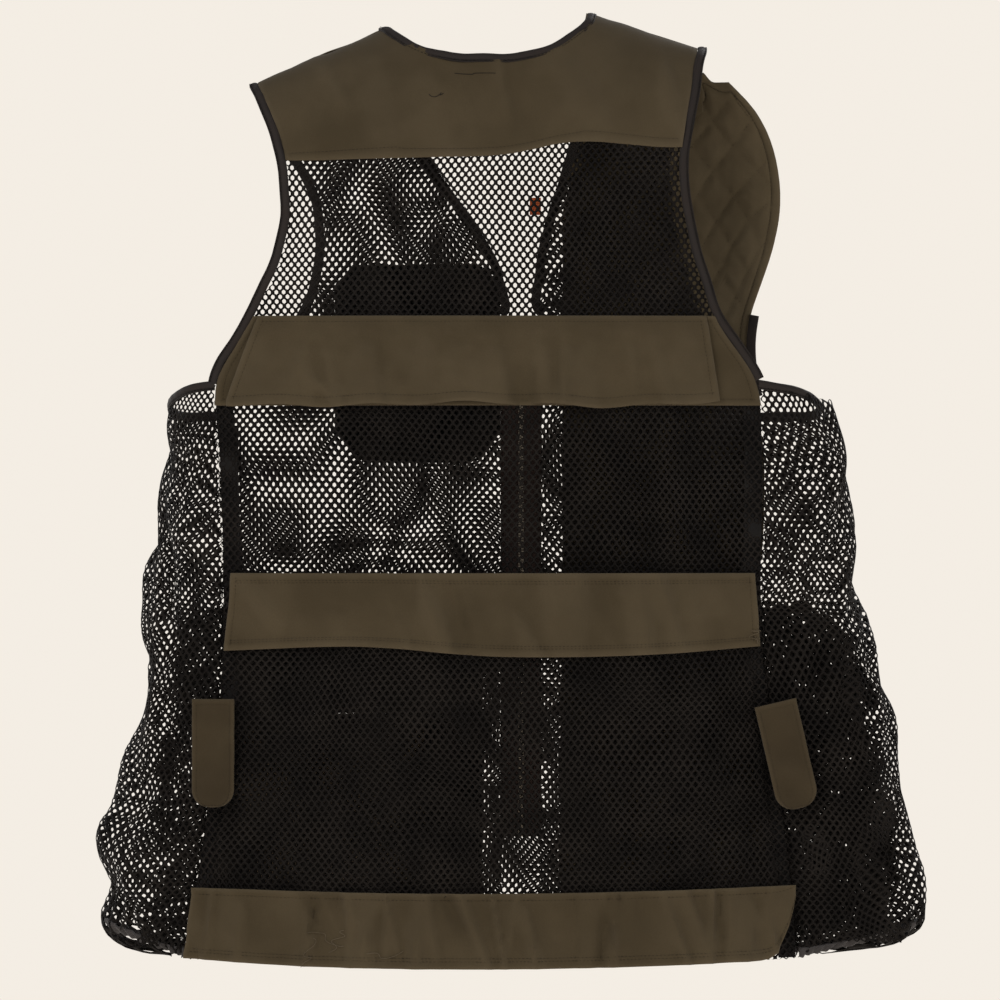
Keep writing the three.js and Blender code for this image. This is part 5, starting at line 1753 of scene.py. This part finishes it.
def nickel_part(node, bevel=0.0004):
    """A metal part keeps its CAD mesh, with its edges rounded."""
    made = frame["nodes"][node]
    made.data.materials.clear()
    made.data.materials.append(nickel)
    modifier = made.modifiers.new("rounded_edges", "BEVEL")
    modifier.width = bevel
    modifier.segments = 3
    modifier.limit_method = "ANGLE"
    made.data.shade_smooth()
    made.data.set_sharp_from_angle(angle=math.radians(35))
    return made


TAPE_WIDE = 0.016  # width of each main zip tape
TOOTH_PITCH = 0.0022


def make_main_zip():
    face = float(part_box("zip_tape_left")[1].y)
    top, foot = high_of("zip_tape_left"), low_of("zip_tape_left")
    for side, sign in (("left", 1), ("right", -1)):
        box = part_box(f"zip_tape_{side}")
        x0, x1 = (box[0].x, box[1].x)
        near, far = (x0 - 0.0026, x1 + 0.0035) if sign > 0 else (x1 + 0.0026, x0 - 0.0035)

        def place(u, v, near=near, far=far):
            z = between(top, foot, v)
            x = between(near, far, u)
            return np.stack([x, np.full(x.shape, face), z], -1)

        def relief(p, near=near, sign=sign):
            z = p[..., 2]
            outer = np.abs(p[..., 0] - near) / TAPE_WIDE
            wave = 0.0009 * np.sin(2 * math.pi * z / 0.055 + sign) + 0.0006 * ripple(z, 0 * z, 0.03, 241)
            return 0.0008 * outer + outer * wave

        sewn = {"right": [0.0025]}
        cloth = Sheet(place, TAPE_WIDE, top - foot, (0, -1, 0), thick=0.0011, relief=relief, sewn=sewn,
                      step=0.0025)
        made = cloth.build(f"zip_tape_{side}_cloth", zip_cloth, "root", [f"zip_tape_{side}"])
        lines = cloth.sewn_lines(sewn, 0.004)
        thread = stitches(f"zip_tape_{side}_stitching", lines, dark_thread)
        cloth.declare(made, "hung", ["front_netting_left"], [thread])
        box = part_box(f"zip_teeth_{side}")
        middle = ((box[0].x + box[1].x) / 2, (box[0].y + box[1].y) / 2)
        levels = np.arange(box[1].z - 0.0012, box[0].z + 0.001, -TOOTH_PITCH)
        levels = levels - (TOOTH_PITCH / 2 if sign > 0 else 0)
        centres = [(middle[0], middle[1], z) for z in levels if z > box[0].z + 0.0008]
        mesh = boxes_mesh(f"zip_teeth_row_{side}", centres, np.array([1.0, 0, 0]), np.array([0, -1.0, 0]),
                          np.array([0, 0, 1.0]), (box[1].x - box[0].x, box[1].y - box[0].y, 0.0014))
        piece(f"zip_teeth_row_{side}", mesh, tooth_plastic, "root", [f"zip_teeth_{side}"])
    keeper = nickel_part("zip_retainer_box", 0.0006)
    keeper.data.materials[0] = tooth_plastic
    nickel_part("zip_slider", 0.0005)
    nickel_part("zip_pull", 0.0004)


def make_chest_pocket():
    f = Frame("chest_pocket", -1)
    half = cut_half(f.size[0], f.size[2], 0.016, 0.024)
    make_pocket_cloth("chest_pocket_cloth", f, half, lining, "chest_pocket", seed=251)


def make_lower_pocket(side, seed):
    f = Frame(f"lower_pocket_{side}", -1)
    mouth_half = f.size[0] / 2 - 0.005
    mouth = (0.008, 0.025, mouth_half)
    half = cut_half(f.size[0], f.size[2], 0.0, 0.010)
    make_pocket_cloth(f"lower_pocket_{side}_cloth", f, half, olive, f"lower_pocket_{side}",
                      mouth=mouth, seed=seed)
    t = Frame(f"pocket_zip_tape_{side}", -1)
    middle = t.size[2] / 2
    for part, sign in (("upper", 1), ("lower", -1)):
        def place(u, v, sign=sign):
            x = (u - 0.5) * (t.size[0] + 0.004)
            across = 0.0002 + v * (middle + 0.0018)
            return t.world(x, 0.0 * x - 0.0012, -middle + sign * across)

        def relief(p, sign=sign):
            along = p @ t.right
            return 0.0003 * ripple(along, 0 * along, 0.02, seed + 5 + sign)

        sewn = {"top": [0.0032]}
        cloth = Sheet(place, t.size[0], middle + 0.0018, t.out, thick=0.0011, relief=relief, step=0.003,
                      sewn=sewn)
        name = f"pocket_zip_tape_{side}_{part}"
        nodes = [f"pocket_zip_tape_{side}"] if sign > 0 else []
        cloth.build(name, pocket_zip_cloth, "root", nodes)
        stitches(f"{name}_thread", cloth.sewn_lines(sewn, 0.004), pale_thread)
    teeth = Frame(f"pocket_zip_teeth_{side}", -1)
    reach = teeth.size[0] / 2 - 0.001
    centres = []
    for row, sign in ((0, 1), (1, -1)):
        for x in np.arange(-reach, reach, TOOTH_PITCH):
            centres.append(teeth.world(np.array(x + TOOTH_PITCH / 2 * row), np.array(teeth.size[1] / 2),
                                       np.array(-teeth.size[2] / 2 + sign * 0.0008)))
    mesh = boxes_mesh(f"pocket_zip_teeth_{side}_rows", centres, teeth.right, teeth.out, teeth.up,
                      (0.0014, teeth.size[1], 0.0015))
    piece(f"pocket_zip_teeth_{side}_rows", mesh, tooth_plastic, "root",
          [f"pocket_zip_teeth_{side}"])
    nickel_part(f"pocket_zip_slider_{side}")
    nickel_part(f"pocket_zip_pull_{side}", 0.0003)


def make_pocket_back():
    """The cloth that closes the lower left pocket towards the netting, below its zip. Its pale colour is
    painted light in the shaded pocket.
    """
    f = Frame("lower_pocket_left", -1)
    width, height = f.size[0] - 0.002, f.size[2] - 0.0265

    def place(u, v):
        x = (u - 0.5) * width
        return f.world(x, 0.0 * x - 0.0006, -0.0265 - v * height)

    def relief(p):
        x, z = p[..., 0], p[..., 2]
        folds = creases(x, z, (0.05, -0.70), (0.21, -0.57), 7, 0.6, 0.008, 0.001, 267)
        return 0.0006 * ripple(x, z, 0.05, 266) + folds

    sewn = {"top": [0.004]}
    cloth = Sheet(place, width, height, f.out, thick=0.0010, relief=relief, sewn=sewn)
    made = cloth.build("lower_pocket_left_back", pocket_back_painted_light, "root")
    thread = stitches("lower_pocket_left_back_stitching", cloth.sewn_lines(sewn, 0.003), pale_thread)
    cloth.declare(made, "hung", ["front_netting_left"], [thread])


def make_tab(side, seed):
    for node, body, name in ((f"tab_under_{side}", "root", f"tab_under_{side}_cloth"),
                             (f"tab_{side}", f"tab_{side}", f"tab_{side}_cloth")):
        f = Frame(node, 1, f"tab_{side}_lift")
        width, length, thick = f.size[0], f.size[2], f.size[1]
        corner = 0.42 * width

        def place(u, v, f=f, width=width, length=length, corner=corner):
            down = length * (1 - (1 - v) ** 1.25)
            into = np.clip((down - (length - corner)) / corner, 0, 1)
            half = width / 2 - corner * (1 - np.sqrt(np.maximum(1 - into**2, 0)))
            x = (2 * u - 1) * half
            return f.world(x, 0.0 * x, -down)

        def relief(p, f=f):
            down = (f.origin - p) @ f.up
            curl = 0.0009 * np.clip(down / 0.09, 0, 1) ** 2
            return curl + 0.0004 * ripple(p @ f.right, p @ f.up, 0.03, seed)

        sewn = {"left": [0.0036], "right": [0.0036], "top": [0.0036], "bottom": [0.0036]}
        cloth = Sheet(place, width, length, f.out, thick=thick - 0.0006, relief=relief, sewn=sewn,
                      step=0.0025)
        made = cloth.build(name, tab_olive, body, [node])
        thread = seam_stitches(name, cloth.sewn_lines(sewn, 0.0036), body, pitch=0.0027)
        cloth.declare(made, "hung", ["hem_band_cloth"], [thread])
    f = Frame(f"tab_hook_patch_{side}", 1, f"tab_{side}_lift")

    def patch(u, v):
        x = (u - 0.5) * f.size[0]
        return f.world(x, 0 * x, -v * f.size[2])

    cloth = Sheet(patch, f.size[0], f.size[2], f.out, thick=0.0007, step=0.002,
                  relief=lambda p: 0.00015 * ripple(p @ f.right, p @ f.up, 0.003, seed + 3))
    made = cloth.build(f"tab_hook_patch_{side}_cloth", hooks, f"tab_{side}",
                       [f"tab_hook_patch_{side}"])
    cloth.declare(made, "laid", [f"tab_{side}_cloth"])


def make_tag():
    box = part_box("edge_tag")
    x0, x1, z0, z1 = box[0].x, box[1].x, box[0].z, box[1].z

    def place(u, v):
        x = between(x0, x1, u)
        return np.stack([x, np.full(x.shape, box[0].y + 0.0004), between(z1, z0, v)], -1)

    cloth = Sheet(place, x1 - x0, z1 - z0, (0, -1, 0), thick=0.0010, step=0.001,
                  relief=lambda p: 0.0003 * ripple(p[..., 0], p[..., 2], 0.006, 301))
    cloth.build("edge_tag_ribbon", satin, "root", ["edge_tag"])


add_camera()
add_light()
add_floor()
make_back()
make_side("left", 311)
make_side("right", 331)
make_seam_tapes()
make_front_shoulders()
make_front_nets()
make_gun_pad()
make_front_overlays()
make_main_zip()
make_chest_pocket()
make_lower_pocket("left", 261)
make_lower_pocket("right", 271)
make_pocket_back()
make_tab("left", 281)
make_tab("right", 291)
make_tag()
